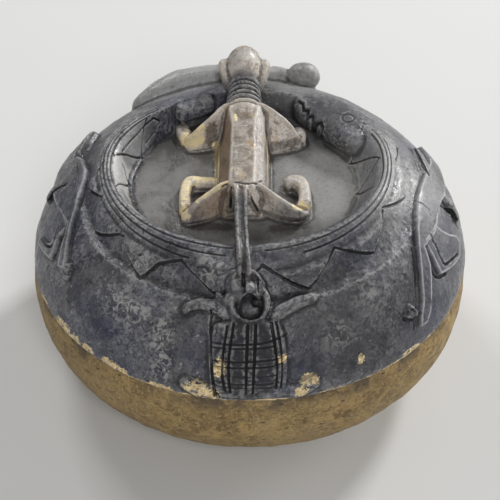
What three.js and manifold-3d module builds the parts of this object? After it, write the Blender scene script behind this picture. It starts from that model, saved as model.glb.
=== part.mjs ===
// A lidded divination bowl of carved wood: a round bowl with compartments cut into it, and a domed
// lid with a sunk basin, a crouching animal in the basin, and a tortoise, two lizards and a fourth
// animal in relief round it. Each of the two pieces is carved from one block.
// Millimetres, +Z up, base at z = 0. Azimuth 0 is the front (-Y), where the tortoise is, and 90 is +X.
import * as THREE from "three";
import { mergeVertices } from "three/addons/utils/BufferGeometryUtils.js";
import Module from "manifold-3d";

// Where bowl and lid meet
const LID_RADIUS = 201; // of the lid's lower edge, which the bowl's radii follow
const LID_OVERHANG = 2; // of that edge beyond the bowl's seat
const SEAT_WIDTH = 14;
const SEAT_GAP = 0.3;
const LIP_THICKNESS = 8;
const LIP_HEIGHT = 8;
const LIP_CLEARANCE = 1.3;

// Bowl
const BOWL_HEIGHT = 116; // base to the flat seat on the rim
const BASE_RADIUS = 68;
const BULGE_SPREAD = 2; // of the widest ring beyond the lid's edge
const BULGE_DROP = 22; // of the widest ring below the seat
const BOWL_POWER = 2.4; // fullness of the outside between base and widest ring
const BOWL_WALL = 19;
const BOWL_FLOOR = 18;

// Compartments
const WELL_RADIUS = 46;
const DIVIDER_COUNT = 4;
const DIVIDER_THICKNESS = 9;
const DIVIDER_DROP = 14; // of the dividers' tops below the seat

// Lid shell
const DOME_RISE = 139; // of the dome's notional crown above the seat
const DOME_POWER = 1.67;
const HOLLOW_RISE = 58;
const HOLLOW_POWER = 3;

// Basin, ridge and cove, with heights above the lid's lower edge
const BASIN_RADIUS = 101;
const BASIN_HEIGHT = 71;
const BASIN_SHIFT = [-5, -2]; // of the basin's floor from the lid's centre
const BACK_WALL_RUN = 8; // foot to top of the basin's steep back wall
const SHELF_HEIGHT = 99.5; // where the dome's crown is cut flat round the basin
const SHELF_ROUNDING = 4;
const RIDGE_INNER_RADIUS = 121;
const RIDGE_OUTER_RADIUS = 131.5;
const RIDGE_FRONT_INWARD = 6.5; // the ridge is wider at the front by these two
const RIDGE_FRONT_OUTWARD = 4;
const RIDGE_LEFTWARD = 3; // of the ridge's ring from the lid's centre
const RIDGE_PROUD = 4.5; // of the ridge above the shelf
const RIDGE_FOOT_RUN = 8;
const RIDGE_FULL = 95; // azimuth up to which the ridge has its full height
const RIDGE_END = 138;
const COVE_FRONT_WIDTH = 19.5; // of the hollowed band from the ridge's foot outwards
const COVE_SIDE_WIDTH = 7.5;
const COVE_DEPTH = 6;
const COVE_FULL = 50;
const COVE_END = 110;

// Crouching animal in the basin, seen from behind
const TORSO_LENGTH = 110;
const TORSO_HALF_WIDTH = 24; // of its base
const TORSO_HEIGHT = 36.5; // of its back above the basin floor
const FIGURE_SHIFT = [-5, 10]; // of the torso's middle from the lid's centre
const NECK_RADIUS = 17;
const NECK_TAPER = [1.1, 0.86]; // of its radius, from the shoulders to the head
const NECK_LENGTH = 36;
const NECK_RINGS = 5;
const NECK_TILT = 26; // degrees above level
const HEAD_RADIUS = 18;
const HEAD_LENGTH = 25; // half of the skull's length
const TAIL_HALF_WIDTH = 5.6;
const TAIL_HALF_HEIGHT = 5;
const TAIL_CLEARANCE = 3.5; // of the tail over the ridge
const FIGURE_ROOT = 4; // by which torso and limbs reach down into the basin floor
const LIMB_UNDERCUT = 9; // most that a limb's front face is cut back below its hem

// Reliefs on the dome
const SHELL_HALF_WIDTH = 35;
const SHELL_PROUD = 8;
const SHELL_TOP = 64; // height of its upper edge
const SHELL_BOTTOM = 6;
const TORTOISE_HEAD_HALF_WIDTH = 16;
const TORTOISE_HEAD_PROUD = 15;
const GUEST_HEIGHT = 83; // on the dome, of the line along which the animal at the back lies
const GUEST_PROUD = 19;
const GUEST_HALF_WIDTH = 20;
const GUEST_HEAD_RADIUS = 14.5;
const LIZARD_BODY_PROUD = 5;
const LIZARD_LEG_PROUD = 4.2;
const LIZARD_ROOT = 4; // by which a lizard's body reaches down into the dome
const LIZARD_LIMIT = 95; // height that no lizard reaches
const TAIL_KNOB_RADIUS = 5;

// Fineness of the curved surfaces
const TURN_STEPS = 64;
const BOWL_STEPS = 56;
const DOME_STEPS = 7;
const SLAB_STEPS = 10;
const HOLLOW_STEPS = 6;

const BULGE_RADIUS = LID_RADIUS + BULGE_SPREAD;
const SEAT_RADIUS = LID_RADIUS - LID_OVERHANG;
const LIP_OUTER_RADIUS = SEAT_RADIUS - SEAT_WIDTH;
const LIP_INNER_RADIUS = LIP_OUTER_RADIUS - LIP_THICKNESS;

const mix = THREE.MathUtils.lerp;
const radians = THREE.MathUtils.degToRad;
const UP = new THREE.Vector3(0, 0, 1);

const wasm = await Module();
wasm.setup();

// Solids

function signedVolume(position, index) {
  const a = new THREE.Vector3();
  const b = new THREE.Vector3();
  const c = new THREE.Vector3();
  let volume = 0;
  for (let i = 0; i < index.length; i += 3) {
    a.fromArray(position, 3 * index[i]);
    b.fromArray(position, 3 * index[i + 1]);
    c.fromArray(position, 3 * index[i + 2]);
    volume += a.dot(b.cross(c)) / 6;
  }
  return volume;
}

// A closed surface as a solid, with its faces turned outwards
function solidFrom(position, index) {
  if (signedVolume(position, index) < 0) index.reverse();
  const mesh = new wasm.Mesh({
    numProp: 3,
    vertProperties: new Float32Array(position),
    triVerts: new Uint32Array(index),
  });
  return new wasm.Manifold(mesh);
}

function solidFromGeometry(geometry) {
  const bare = geometry.clone();
  bare.deleteAttribute("normal");
  bare.deleteAttribute("uv");
  const merged = mergeVertices(bare, 1e-3);
  const all = Array.from(merged.index.array);
  const index = [];
  for (let i = 0; i < all.length; i += 3) {
    const [a, b, c] = all.slice(i, i + 3);
    if (a !== b && b !== c && c !== a) index.push(a, b, c);
  }
  return solidFrom(Array.from(merged.attributes.position.array), index);
}

// A skin over rings of points, closed at each end by a fan to a point
function loft(start, rings, end) {
  const count = rings[0].length;
  const points = [start, ...rings.flat(), end];
  const last = points.length - 1;
  const index = [];
  for (let i = 0; i < count; i++) {
    const next = (i + 1) % count;
    index.push(0, 1 + next, 1 + i);
    const tail = 1 + (rings.length - 1) * count;
    index.push(last, tail + i, tail + next);
    for (let ring = 0; ring < rings.length - 1; ring++) {
      const a = 1 + ring * count + i;
      const b = 1 + ring * count + next;
      index.push(a, b, b + count, a, b + count, a + count);
    }
  }
  return solidFrom(points.flatMap((p) => p.toArray()), index);
}

// A skin through rings of points, flat at both ends
function through(rings) {
  const total = (ring) => ring.reduce((sum, point) => sum.add(point), new THREE.Vector3());
  const middle = (ring) => total(ring).divideScalar(ring.length);
  return loft(middle(rings[0]), rings, middle(rings.at(-1)));
}

function lathe(profile, steps) {
  const points = profile.map(([r, z]) => new THREE.Vector2(r, z));
  return solidFromGeometry(new THREE.LatheGeometry(points, steps).rotateX(Math.PI / 2));
}

function ball(centre, radii, turn = new THREE.Matrix4()) {
  const sphere = new THREE.SphereGeometry(1, 12, 8).scale(...radii).applyMatrix4(turn);
  return solidFromGeometry(sphere.translate(...centre.toArray()));
}

function joined(solids) {
  return solids.reduce((all, solid) => all.add(solid));
}

// Value of a list at u from 0 to 1, eased between its entries
function along(list, u) {
  const place = u * (list.length - 1);
  const i = Math.min(Math.floor(place), list.length - 2);
  return mix(list[i], list[i + 1], THREE.MathUtils.smoothstep(place - i, 0, 1));
}

function roundOutline(sides) {
  const outline = [];
  for (let i = 0; i < sides; i++) {
    const angle = (2 * Math.PI * (i + 0.5)) / sides;
    outline.push([Math.cos(angle), Math.sin(angle)]);
  }
  return outline;
}

const LIMB_OUTLINE = roundOutline(10);
const BOXY_OUTLINE = [
  [1, -0.7],
  [1, 0.7],
  [0.7, 1],
  [-0.7, 1],
  [-1, 0.7],
  [-1, -0.7],
  [-0.7, -1],
  [0.7, -1],
];

// A limb, body or raised form: an outline carried along a curve, swelling and tapering as its
// widths and heights say, with its ends rounded off. `up` gives the outline's upward direction.
function swell({ path, widths, heights, up = () => UP, outline = LIMB_OUTLINE, steps = 12, cap = 0.18 }) {
  const curve = new THREE.CatmullRomCurve3(path);
  const rings = [];
  for (let i = 1; i < steps; i++) {
    const u = 0.5 - 0.5 * Math.cos((Math.PI * i) / steps);
    const fromEnd = Math.min(u, 1 - u, cap) / cap;
    const size = Math.sqrt(1 - (1 - fromEnd) ** 2);
    const centre = curve.getPoint(u);
    const tangent = curve.getTangent(u);
    const side = new THREE.Vector3().crossVectors(tangent, up(centre)).normalize();
    const rise = new THREE.Vector3().crossVectors(side, tangent);
    side.multiplyScalar(along(widths, u) * size);
    rise.multiplyScalar(along(heights, u) * size);
    rings.push(outline.map(([x, y]) => centre.clone().addScaledVector(side, x).addScaledVector(rise, y)));
  }
  return loft(path[0].clone(), rings, path.at(-1).clone());
}

// The dome

function domeHeight(radius) {
  const share = Math.min(radius / LID_RADIUS, 1);
  return DOME_RISE * (1 - share ** DOME_POWER) ** (1 / DOME_POWER);
}

function domeRadius(height) {
  return LID_RADIUS * (1 - (height / DOME_RISE) ** DOME_POWER) ** (1 / DOME_POWER);
}

// A point that lies `proud` above the dome, at an azimuth in degrees and a height over the lid's edge
function onDome(azimuth, height, proud = 0) {
  const radius = domeRadius(height);
  const angle = radians(azimuth);
  const point = new THREE.Vector3(radius * Math.sin(angle), -radius * Math.cos(angle), height);
  return point.addScaledVector(domeNormal(point), proud);
}

function domeNormal(point) {
  const radius = Math.hypot(point.x, point.y);
  const out = (radius / LID_RADIUS) ** (DOME_POWER - 1) / LID_RADIUS;
  const rise = (Math.max(point.z, 1) / DOME_RISE) ** (DOME_POWER - 1) / DOME_RISE;
  return new THREE.Vector3((point.x / radius) * out, (point.y / radius) * out, rise).normalize();
}

// 1 up to azimuth `full` on either side of the front, falling to 0 at azimuth `end`
function fromFront(azimuth, full, end) {
  return 1 - THREE.MathUtils.smoothstep(Math.abs(azimuth), full, end);
}

// The dome with its crown cut flat, and the edge of the cut rounded off
function shelfHeight(radius) {
  const above = (SHELF_HEIGHT - domeHeight(radius)) / SHELF_ROUNDING;
  return SHELF_HEIGHT - SHELF_ROUNDING * Math.log(1 + Math.exp(above));
}

// Radii and heights of the lid's top from the basin floor's edge to the lid's lower edge
function lidTop(azimuth) {
  const ridge = fromFront(azimuth, RIDGE_FULL, RIDGE_END);
  const cove = fromFront(azimuth, COVE_FULL, COVE_END);
  const front = fromFront(azimuth, 10, 85);
  const leftward = RIDGE_LEFTWARD * Math.sin(radians(azimuth));
  const ridgeInner = RIDGE_INNER_RADIUS - front * RIDGE_FRONT_INWARD - leftward;
  const ridgeOuter = RIDGE_OUTER_RADIUS + front * RIDGE_FRONT_OUTWARD - leftward;
  const backInner = BASIN_RADIUS + BACK_WALL_RUN;
  const inner = mix(backInner, ridgeInner, ridge);
  const outer = mix(backInner + ridgeOuter - ridgeInner, ridgeOuter, ridge);
  const edge = RIDGE_OUTER_RADIUS + RIDGE_FOOT_RUN + mix(COVE_SIDE_WIDTH, COVE_FRONT_WIDTH, cove);
  const section = [];
  for (const share of [0, 0.12, 0.4, 0.7, 0.9]) {
    const rise = mix(share, THREE.MathUtils.smoothstep(share, 0, 1), 0.6);
    section.push([mix(BASIN_RADIUS, inner, share), mix(BASIN_HEIGHT, shelfHeight(inner), rise)]);
  }
  const band = [0, 0.65, 1, 1.05, 0.9];
  band.forEach((proud, i) => {
    const radius = mix(inner, outer, i / (band.length - 1));
    section.push([radius, shelfHeight(radius) + ridge * RIDGE_PROUD * proud]);
  });
  const foot = outer + RIDGE_FOOT_RUN;
  section.push([mix(outer, foot, 0.45), shelfHeight(mix(outer, foot, 0.45)) + ridge * RIDGE_PROUD * 0.5]);
  for (const share of [0, 0.25, 0.5, 0.75, 1]) {
    const radius = mix(foot, edge, share);
    const dip = cove * COVE_DEPTH * Math.sin(Math.PI * mix(0.12, 1, share));
    section.push([radius, shelfHeight(radius) - dip]);
  }
  const edgeHeight = shelfHeight(edge);
  for (let i = 1; i <= DOME_STEPS; i++) {
    const height = edgeHeight * (1 - i / DOME_STEPS);
    section.push([domeRadius(height), height]);
  }
  return section;
}

function hollowRadius(height) {
  const mouth = LIP_OUTER_RADIUS + LIP_CLEARANCE;
  return mouth * (1 - (height / HOLLOW_RISE) ** HOLLOW_POWER) ** (1 / HOLLOW_POWER);
}

function lidShell() {
  const rings = [];
  for (let turn = 0; turn < TURN_STEPS; turn++) {
    const azimuth = (360 * turn) / TURN_STEPS - 180;
    const angle = radians(azimuth);
    const section = lidTop(azimuth);
    for (let i = 0; i < HOLLOW_STEPS; i++) {
      const climb = Math.sin((Math.PI * i) / (2 * HOLLOW_STEPS));
      const height = HOLLOW_RISE * climb;
      section.push([hollowRadius(height), height]);
    }
    section.forEach(([radius, height], i) => {
      const fade = 1 - THREE.MathUtils.smoothstep(radius, BASIN_RADIUS, RIDGE_INNER_RADIUS);
      const inBasin = height > HOLLOW_RISE ? fade : 0;
      const x = radius * Math.sin(angle) + inBasin * BASIN_SHIFT[0];
      const y = -radius * Math.cos(angle) + inBasin * BASIN_SHIFT[1];
      rings[i] = rings[i] ?? [];
      rings[i].push(new THREE.Vector3(x, y, height));
    });
  }
  const floor = new THREE.Vector3(...BASIN_SHIFT, BASIN_HEIGHT);
  return loft(floor, rings, new THREE.Vector3(0, 0, HOLLOW_RISE));
}

// A raised form laid along the dome. Each stop is [azimuth, height, half width, how proud it stands].
function relief(stops, { sides = 8, steps = 10, cap = 0.18 } = {}) {
  return swell({
    path: stops.map(([azimuth, height]) => onDome(azimuth, height)),
    widths: stops.map((stop) => stop[2]),
    heights: stops.map((stop) => stop[3]),
    up: domeNormal,
    outline: roundOutline(sides),
    steps,
    cap,
  });
}

// Reliefs

function tortoise() {
  const parts = [];
  parts.push(
    relief(
      [
        [-0.5, SHELL_TOP, SHELL_HALF_WIDTH * 0.82, SHELL_PROUD],
        [0, mix(SHELL_TOP, SHELL_BOTTOM, 0.3), SHELL_HALF_WIDTH, SHELL_PROUD],
        [0.5, mix(SHELL_TOP, SHELL_BOTTOM, 0.62), SHELL_HALF_WIDTH, SHELL_PROUD * 0.8],
        [0.5, SHELL_BOTTOM, SHELL_HALF_WIDTH * 0.86, SHELL_PROUD * 0.4],
      ],
      { sides: 14, steps: 12, cap: 0.05 },
    ),
  );
  const wide = TORTOISE_HEAD_HALF_WIDTH;
  const proud = TORTOISE_HEAD_PROUD;
  parts.push(
    relief(
      [
        [-1.5, 88, wide * 0.45, proud * 0.7],
        [-1.5, 79, wide, proud],
        [-1, 70, wide * 0.9, proud * 0.8],
        [-0.5, SHELL_TOP - 2, wide * 0.6, proud * 0.4],
      ],
      { sides: 12, cap: 0.2 },
    ),
  );
  parts.push(
    relief([
      [-4, SHELL_TOP - 2, 6, 7],
      [-8, SHELL_TOP + 3, 6, 8],
      [-13, SHELL_TOP + 5, 5.5, 8],
      [-17.3, SHELL_TOP + 2.5, 5, 6],
      [-19, SHELL_TOP - 3, 3.5, 4],
    ]),
  );
  parts.push(
    relief([
      [5, SHELL_TOP - 3, 6, 7],
      [9, SHELL_TOP + 2, 6, 8],
      [14, SHELL_TOP + 5.5, 5.5, 7],
      [18, SHELL_TOP + 6.5, 4.5, 5],
      [20.5, SHELL_TOP + 8, 3, 3],
    ]),
  );
  for (const side of [-1, 1]) {
    parts.push(
      relief([
        [side * 7, SHELL_BOTTOM + 6, 6, 4],
        [side * 12, SHELL_BOTTOM + 3, 7, 4.5],
        [side * 17, SHELL_BOTTOM + 9, 5, 4],
      ]),
    );
  }
  return parts;
}

// Everything inside the dome raised by `lift`, up to the height that no lizard reaches
function raisedDome(lift) {
  const profile = [];
  for (let i = 0; i <= SLAB_STEPS; i++) {
    const place = onDome(0, mix(1, LIZARD_LIMIT, i / SLAB_STEPS), lift);
    profile.push([-place.y, place.z]);
  }
  return lathe([[0, profile[0][1]], ...profile, [0, profile.at(-1)[1]]], TURN_STEPS);
}

// A slab with steep borders laid along the dome. Its corners are places of azimuth and height.
function slab(side, corners, proud) {
  const flat = corners.map(([azimuth, height]) => new THREE.Vector2(side * azimuth, height));
  if (THREE.ShapeUtils.isClockWise(flat)) flat.reverse();
  const count = flat.length;
  const inner = flat.map((corner) => onDome(corner.x, corner.y, -3 * LIZARD_ROOT));
  const outer = flat.map((corner) => onDome(corner.x, corner.y, DOME_RISE));
  const index = [];
  for (const face of THREE.ShapeUtils.triangulateShape(flat, [])) {
    if (THREE.ShapeUtils.isClockWise(face.map((i) => flat[i]))) face.reverse();
    const [a, b, c] = face;
    index.push(a, c, b, count + a, count + b, count + c);
  }
  for (let i = 0; i < count; i++) {
    const next = (i + 1) % count;
    index.push(i, next, count + next, i, count + next, count + i);
  }
  const prism = solidFrom([...inner, ...outer].flatMap((p) => p.toArray()), index);
  return prism.intersect(raisedDome(proud).subtract(raisedDome(-LIZARD_ROOT)));
}

function lizard(side, { body, leg, upperArm, lowerArm, knob }) {
  const mirrored = (stops) => stops.map(([azimuth, ...rest]) => [side * azimuth, ...rest]);
  const [azimuth, height] = knob;
  const knobCentre = onDome(side * azimuth, height, TAIL_KNOB_RADIUS * 0.5);
  return [
    slab(side, body, LIZARD_BODY_PROUD),
    slab(side, leg, LIZARD_LEG_PROUD),
    relief(mirrored(upperArm)),
    relief(mirrored(lowerArm)),
    ball(knobCentre, [TAIL_KNOB_RADIUS, TAIL_KNOB_RADIUS, TAIL_KNOB_RADIUS]),
  ];
}

function lizards() {
  const right = {
    body: [
      [92, 73],
      [84, 77.5],
      [78, 78.3],
      [70.5, 76],
      [65, 72],
      [60, 65],
      [56.5, 56.7],
      [53, 46],
      [48.5, 29],
      [47, 20],
      [50, 19],
      [55.7, 37.5],
      [60, 50],
      [62.5, 61],
      [70, 59],
      [78.5, 61],
      [85, 58],
      [92, 52],
      [108, 41],
      [115, 35],
      [119, 40],
      [112, 49],
      [104, 59],
      [98, 68],
    ],
    leg: [
      [62.8, 64],
      [62.2, 50],
      [61.5, 37.5],
      [65, 32],
      [69.5, 27.3],
      [74, 24.8],
      [76, 28.3],
      [71, 33],
      [68, 38],
      [68.8, 48],
      [70.5, 61],
    ],
    upperArm: [
      [91, 67, 5.5, 9],
      [99, 68, 6.5, 10],
      [108.5, 69, 5.5, 9],
    ],
    lowerArm: [
      [90, 57, 5, 7],
      [88.5, 45, 5.5, 8],
      [87, 32, 4, 6],
    ],
    knob: [46.5, 34],
  };
  const left = {
    body: [
      [103.5, 65],
      [103.3, 69.5],
      [99, 76.7],
      [91.3, 82],
      [86, 81.4],
      [80, 78],
      [74.7, 73.8],
      [66.8, 60.4],
      [60.5, 45],
      [63.5, 42],
      [66, 49],
      [72, 64],
      [80, 60],
      [96, 49],
      [118, 37],
      [124, 43],
      [110, 61],
    ],
    leg: [
      [71.5, 64],
      [71.2, 51],
      [69.2, 43.5],
      [68.8, 37.5],
      [74, 32.5],
      [79, 28.5],
      [80.5, 32.5],
      [76, 37.5],
      [72.8, 45],
      [75.5, 54],
      [79, 63],
    ],
    upperArm: [
      [103, 68, 5, 8],
      [110, 69.5, 5.5, 9],
      [117, 69, 5, 8],
    ],
    lowerArm: [
      [91, 66, 4.5, 6],
      [93, 53, 5, 7],
      [93, 39, 4, 5],
    ],
    knob: [60.5, 45],
  };
  return [...lizard(1, right), ...lizard(-1, left)];
}

// The fourth animal lies across the back of the lid, with its round head to the right
function backAnimal() {
  const high = GUEST_HEIGHT;
  const wide = GUEST_HALF_WIDTH;
  const proud = GUEST_PROUD;
  const body = relief(
    [
      [-134, high * 0.88, wide * 0.5, proud * 0.35],
      [-142, high * 0.94, wide * 0.85, proud * 0.75],
      [-150, high * 0.98, wide, proud],
      [-159, high, wide, proud],
      [-173, high, wide, proud * 0.88],
      [-188, high, wide * 0.75, proud * 0.75],
      [-199, high * 1.02, wide * 0.45, proud * 0.68],
    ],
    { sides: 12, steps: 14, cap: 0.06 },
  );
  const radius = GUEST_HEAD_RADIUS;
  const head = ball(onDome(159, high * 1.04, radius * 0.6), [radius * 1.1, radius, radius]);
  return [body, head];
}

// The ridge is a snake. Its head fills the back right of the basin's wall, and a smaller one the left.
function ridgeHeads() {
  const heads = [];
  const stations = [
    { azimuths: [106, 119, 134, 148, 157], widths: [9, 18, 22, 17, 9], proud: 14, out: 7 },
    { azimuths: [-138, -147, -154, -161], widths: [6, 10, 10, 7], proud: 9, out: 3 },
  ];
  for (const { azimuths, widths, proud, out } of stations) {
    const path = azimuths.map((azimuth) => {
      const angle = radians(azimuth);
      const radius = BASIN_RADIUS + out;
      const height = SHELF_HEIGHT - proud - 1;
      return new THREE.Vector3(radius * Math.sin(angle), -radius * Math.cos(angle), height);
    });
    const heights = widths.map(() => proud);
    heads.push(swell({ path, widths, heights, outline: roundOutline(12), steps: 10 }));
  }
  return heads;
}

// The animal in the basin, with heights above the basin floor, and x and y from its middle

function figurePoint(x, y, height) {
  return new THREE.Vector3(FIGURE_SHIFT[0] + x, FIGURE_SHIFT[1] + y, BASIN_HEIGHT + height);
}

// Each station across the torso has its place along it in lengths, then in half widths from its middle
// the left foot, the top's left and right edge, the chamfer's lower edge and the right foot, and at
// last the top in heights
function torso() {
  const stations = [
    [0.673, -0.75, -0.46, 0.46, 0.67, 0.79, 0.8],
    [0.573, -0.88, -0.54, 0.54, 0.75, 0.92, 1],
    [0.318, -1, -0.5, 0.42, 0.73, 0.98, 1.014],
    [0.045, -1.02, -0.5, 0.4, 0.73, 0.98, 1],
    [-0.273, -1, -0.52, 0.4, 0.73, 0.96, 0.986],
    [-0.482, -0.92, -0.52, 0.33, 0.63, 0.88, 0.918],
    [-0.545, -0.71, -0.29, 0.21, 0.42, 0.71, 0.658],
  ];
  const low = -FIGURE_ROOT;
  const rings = stations.map(([place, ...shares]) => {
    const [left, topLeft, topRight, chamfer, right] = shares.map((share) => share * TORSO_HALF_WIDTH);
    const top = shares.at(-1) * TORSO_HEIGHT;
    const ring = [
      [left - 2, low],
      [left, low + 7],
      [mix(left, topLeft, 0.55), mix(low, top, 0.62)],
      [topLeft, top - 0.8],
      [mix(topLeft, topRight, 0.5), top + 0.4],
      [topRight, top - 0.8],
      [chamfer, top - 8],
      [right, low + 5],
      [right + 1, low],
    ];
    return ring.map(([x, height]) => figurePoint(x, place * TORSO_LENGTH, height));
  });
  return through(rings);
}

function neckAndHead() {
  const tilt = radians(NECK_TILT);
  const start = figurePoint(0, TORSO_LENGTH / 2 + 7, TORSO_HEIGHT - NECK_RADIUS * 0.9);
  const direction = new THREE.Vector3(0, Math.cos(tilt), Math.sin(tilt));
  const pitch = NECK_LENGTH / NECK_RINGS;
  const profile = [[0, -pitch]];
  for (let ring = -1; ring < NECK_RINGS; ring++) {
    const radius = NECK_RADIUS * mix(...NECK_TAPER, Math.max(ring + 0.5, 0) / NECK_RINGS);
    profile.push([radius * 0.91, ring * pitch]);
    profile.push([radius, (ring + 0.25) * pitch]);
    profile.push([radius, (ring + 0.75) * pitch]);
  }
  profile.push([NECK_RADIUS * NECK_TAPER[1] * 0.91, NECK_LENGTH]);
  profile.push([0, NECK_LENGTH]);
  const lean = new THREE.Quaternion().setFromUnitVectors(UP, direction);
  const toNeck = new THREE.Matrix4().makeRotationFromQuaternion(lean).setPosition(start);
  const points = profile.map(([r, z]) => new THREE.Vector2(r, z));
  const neck = new THREE.LatheGeometry(points, 16).rotateX(Math.PI / 2).applyMatrix4(toNeck);
  const headCentre = start.clone().addScaledVector(direction, NECK_LENGTH + HEAD_LENGTH * 0.55);
  const lying = new THREE.Matrix4().makeRotationX(tilt);
  const parts = [solidFromGeometry(neck)];
  parts.push(ball(headCentre, [HEAD_RADIUS, HEAD_LENGTH, HEAD_RADIUS], lying));
  const snout = headCentre.clone().add(new THREE.Vector3(0, HEAD_LENGTH * 0.75, -HEAD_RADIUS * 0.25));
  parts.push(ball(snout, [HEAD_RADIUS * 0.6, HEAD_LENGTH * 0.5, HEAD_RADIUS * 0.5]));
  parts.push(ear(headCentre, -1), ear(headCentre, 1));
  return parts;
}

// An ear lies along the side of the head, wide in front and drawn out to a point at the back. Its
// places are in head radii from the head's centre.
function ear(headCentre, side) {
  const places = [
    [0.86, 0.61, 0.39],
    [1.06, 0.28, 0.33],
    [1.06, -0.28, 0.06],
    [0.89, -0.78, -0.28],
    [0.75, -1.17, -0.56],
  ];
  const offset = ([x, y, z]) => new THREE.Vector3(side * x, y, z).multiplyScalar(HEAD_RADIUS);
  return swell({
    path: places.map((place) => offset(place).add(headCentre)),
    widths: [0.22, 0.3, 0.28, 0.22, 0.14].map((share) => share * HEAD_RADIUS),
    heights: [0.28, 0.45, 0.45, 0.36, 0.17].map((share) => share * HEAD_RADIUS),
    outline: roundOutline(8),
    steps: 7,
  });
}

// A limb shaped like a block, with an upright front face and a sharp crest behind which it slopes down
// to the floor. A station has the crest's x, its y from the torso's end, its height in torso heights,
// and y of the front face and of the slope's foot. Below `hem` the front face is cut back.
function crested(end, hem, stations) {
  const cut = Math.min(hem, LIMB_UNDERCUT);
  const low = -FIGURE_ROOT;
  const rings = stations.map(([x, y, share, front, back]) => {
    const height = share * TORSO_HEIGHT;
    const ring = [
      [front + cut, low],
      [front, hem],
      [mix(front, y, 0.9), mix(hem, height, 0.86)],
      [y + 1.2, height],
      [y + 4.2, height - 1],
      [mix(y + 4, back, 0.5), height * 0.58],
      [back, 1],
      [back, low],
    ];
    return ring.map(([across, up]) => figurePoint(x, end + across, up));
  });
  return through(rings);
}

function forelimb(end, places, widths, heights, steps) {
  const path = places.map(([x, y, height]) => figurePoint(x, end + y, height));
  return swell({ path, widths, heights, outline: BOXY_OUTLINE, steps, cap: 0.08 });
}

function arms() {
  const shoulder = TORSO_LENGTH / 2 + 5;
  const left = [
    [-1, 2, 0.986, -18, 18],
    [-17, 1, 0.973, -15, 18],
    [-29, -12, 0.89, -21, 14],
    [-41, -21, 0.726, -24.5, 6],
    [-50, -22.5, 0.466, -25.5, 0],
    [-55.5, -19, 0.274, -22, -4],
  ];
  const right = [
    [1, 2, 0.986, -26, 18],
    [16.5, 1, 0.986, -28, 18],
    [33, -11, 0.877, -27, 12],
    [44, -18, 0.685, -23, 6],
    [50, -20, 0.438, -21.5, 0],
    [53.5, -18, 0.26, -19, -6],
  ];
  const leftHand = [
    [-52, -18, 8],
    [-57, -6, 6],
    [-59, 8, 4],
  ];
  const rightHand = [
    [52, -16, 8],
    [51, -7, 6],
    [48, 2, 3],
  ];
  return [
    crested(shoulder, 3, left),
    crested(shoulder, 2, right),
    forelimb(shoulder, leftHand, [7, 7, 6.5], [7, 6.5, 5.5], 7),
    forelimb(shoulder, rightHand, [6.5, 6.5, 6], [7, 6.5, 5.5], 7),
  ];
}

// A thigh runs out to the knee at the side, and from it the shin forward and in to the foot
function legs() {
  const hip = -TORSO_LENGTH / 2;
  const left = [
    [-3, 7, 0.904, 0, 23],
    [-19, 4, 0.877, -1, 21],
    [-29, -2, 0.767, -8, 18],
    [-41, -7, 0.575, -13, 14],
    [-50, -11, 0.356, -15, 8],
    [-55, -10, 0.219, -13, 1],
  ];
  const right = [
    [3, 7, 0.904, 1, 23],
    [13, 3, 0.904, -2, 21],
    [27, -6, 0.767, -11, 17],
    [42, -12, 0.548, -16, 12],
    [51, -12, 0.384, -15, 7],
    [57, -8, 0.247, -10, 3],
  ];
  const leftShin = [
    [-51, -7, 8],
    [-52.5, 9, 7],
    [-52, 27, 6.5],
    [-48, 36, 6],
    [-39, 37.5, 5],
    [-23, 38, 4],
  ];
  const rightShin = [
    [53, -5, 10],
    [54, 11, 9],
    [53, 25, 8.5],
    [49.5, 32.5, 8],
    [43, 35.5, 7],
    [36, 33, 5],
  ];
  return [
    crested(hip, 4, left),
    crested(hip, 10, right),
    forelimb(hip, leftShin, [6, 5, 4.8, 5.5, 5.5, 5], [8, 7, 6.5, 6.5, 6, 5.5], 11),
    forelimb(hip, rightShin, [6.5, 5.5, 5.5, 6.5, 6, 5], [9, 8, 8, 8, 7, 6], 11),
  ];
}

// The tail reaches back over the ridge into the tortoise's mouth
function tail() {
  const crossing = SHELF_HEIGHT + RIDGE_PROUD / 2 + TAIL_CLEARANCE;
  const crest = (RIDGE_INNER_RADIUS + RIDGE_OUTER_RADIUS) / 2;
  const path = [
    figurePoint(-3, -TORSO_LENGTH / 2 + 7, TORSO_HEIGHT * 0.74),
    new THREE.Vector3(FIGURE_SHIFT[0] - 2, -crest * 0.72, crossing - 1),
    new THREE.Vector3(FIGURE_SHIFT[0] - 1, -crest * 0.95, crossing),
    new THREE.Vector3(FIGURE_SHIFT[0], -crest - 13, crossing - 2.5),
    onDome(-1.5, 84, TORTOISE_HEAD_PROUD * 0.6),
  ];
  const widths = path.map(() => TAIL_HALF_WIDTH);
  const heights = path.map(() => TAIL_HALF_HEIGHT);
  return swell({ path, widths, heights, outline: BOXY_OUTLINE, steps: 12, cap: 0.03 });
}

function lidSolid() {
  const carving = [...tortoise(), ...lizards(), ...backAnimal(), ...ridgeHeads()];
  const figure = [torso(), ...neckAndHead(), ...arms(), ...legs(), tail()];
  return joined([lidShell(), ...carving, ...figure]);
}

// The bowl

// Quarter of a rounded outline from a flat of radius `flat` at the bottom up to `widest`
function bellyCurve(flat, widest, rise, floor, steps) {
  const profile = [];
  for (let i = 0; i <= steps; i++) {
    const angle = (Math.PI * i) / (2 * steps);
    const out = Math.sin(angle) ** (2 / BOWL_POWER);
    const up = 1 - Math.cos(angle) ** (2 / BOWL_POWER);
    profile.push([mix(flat, widest, out), floor + rise * up]);
  }
  return profile;
}

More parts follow.
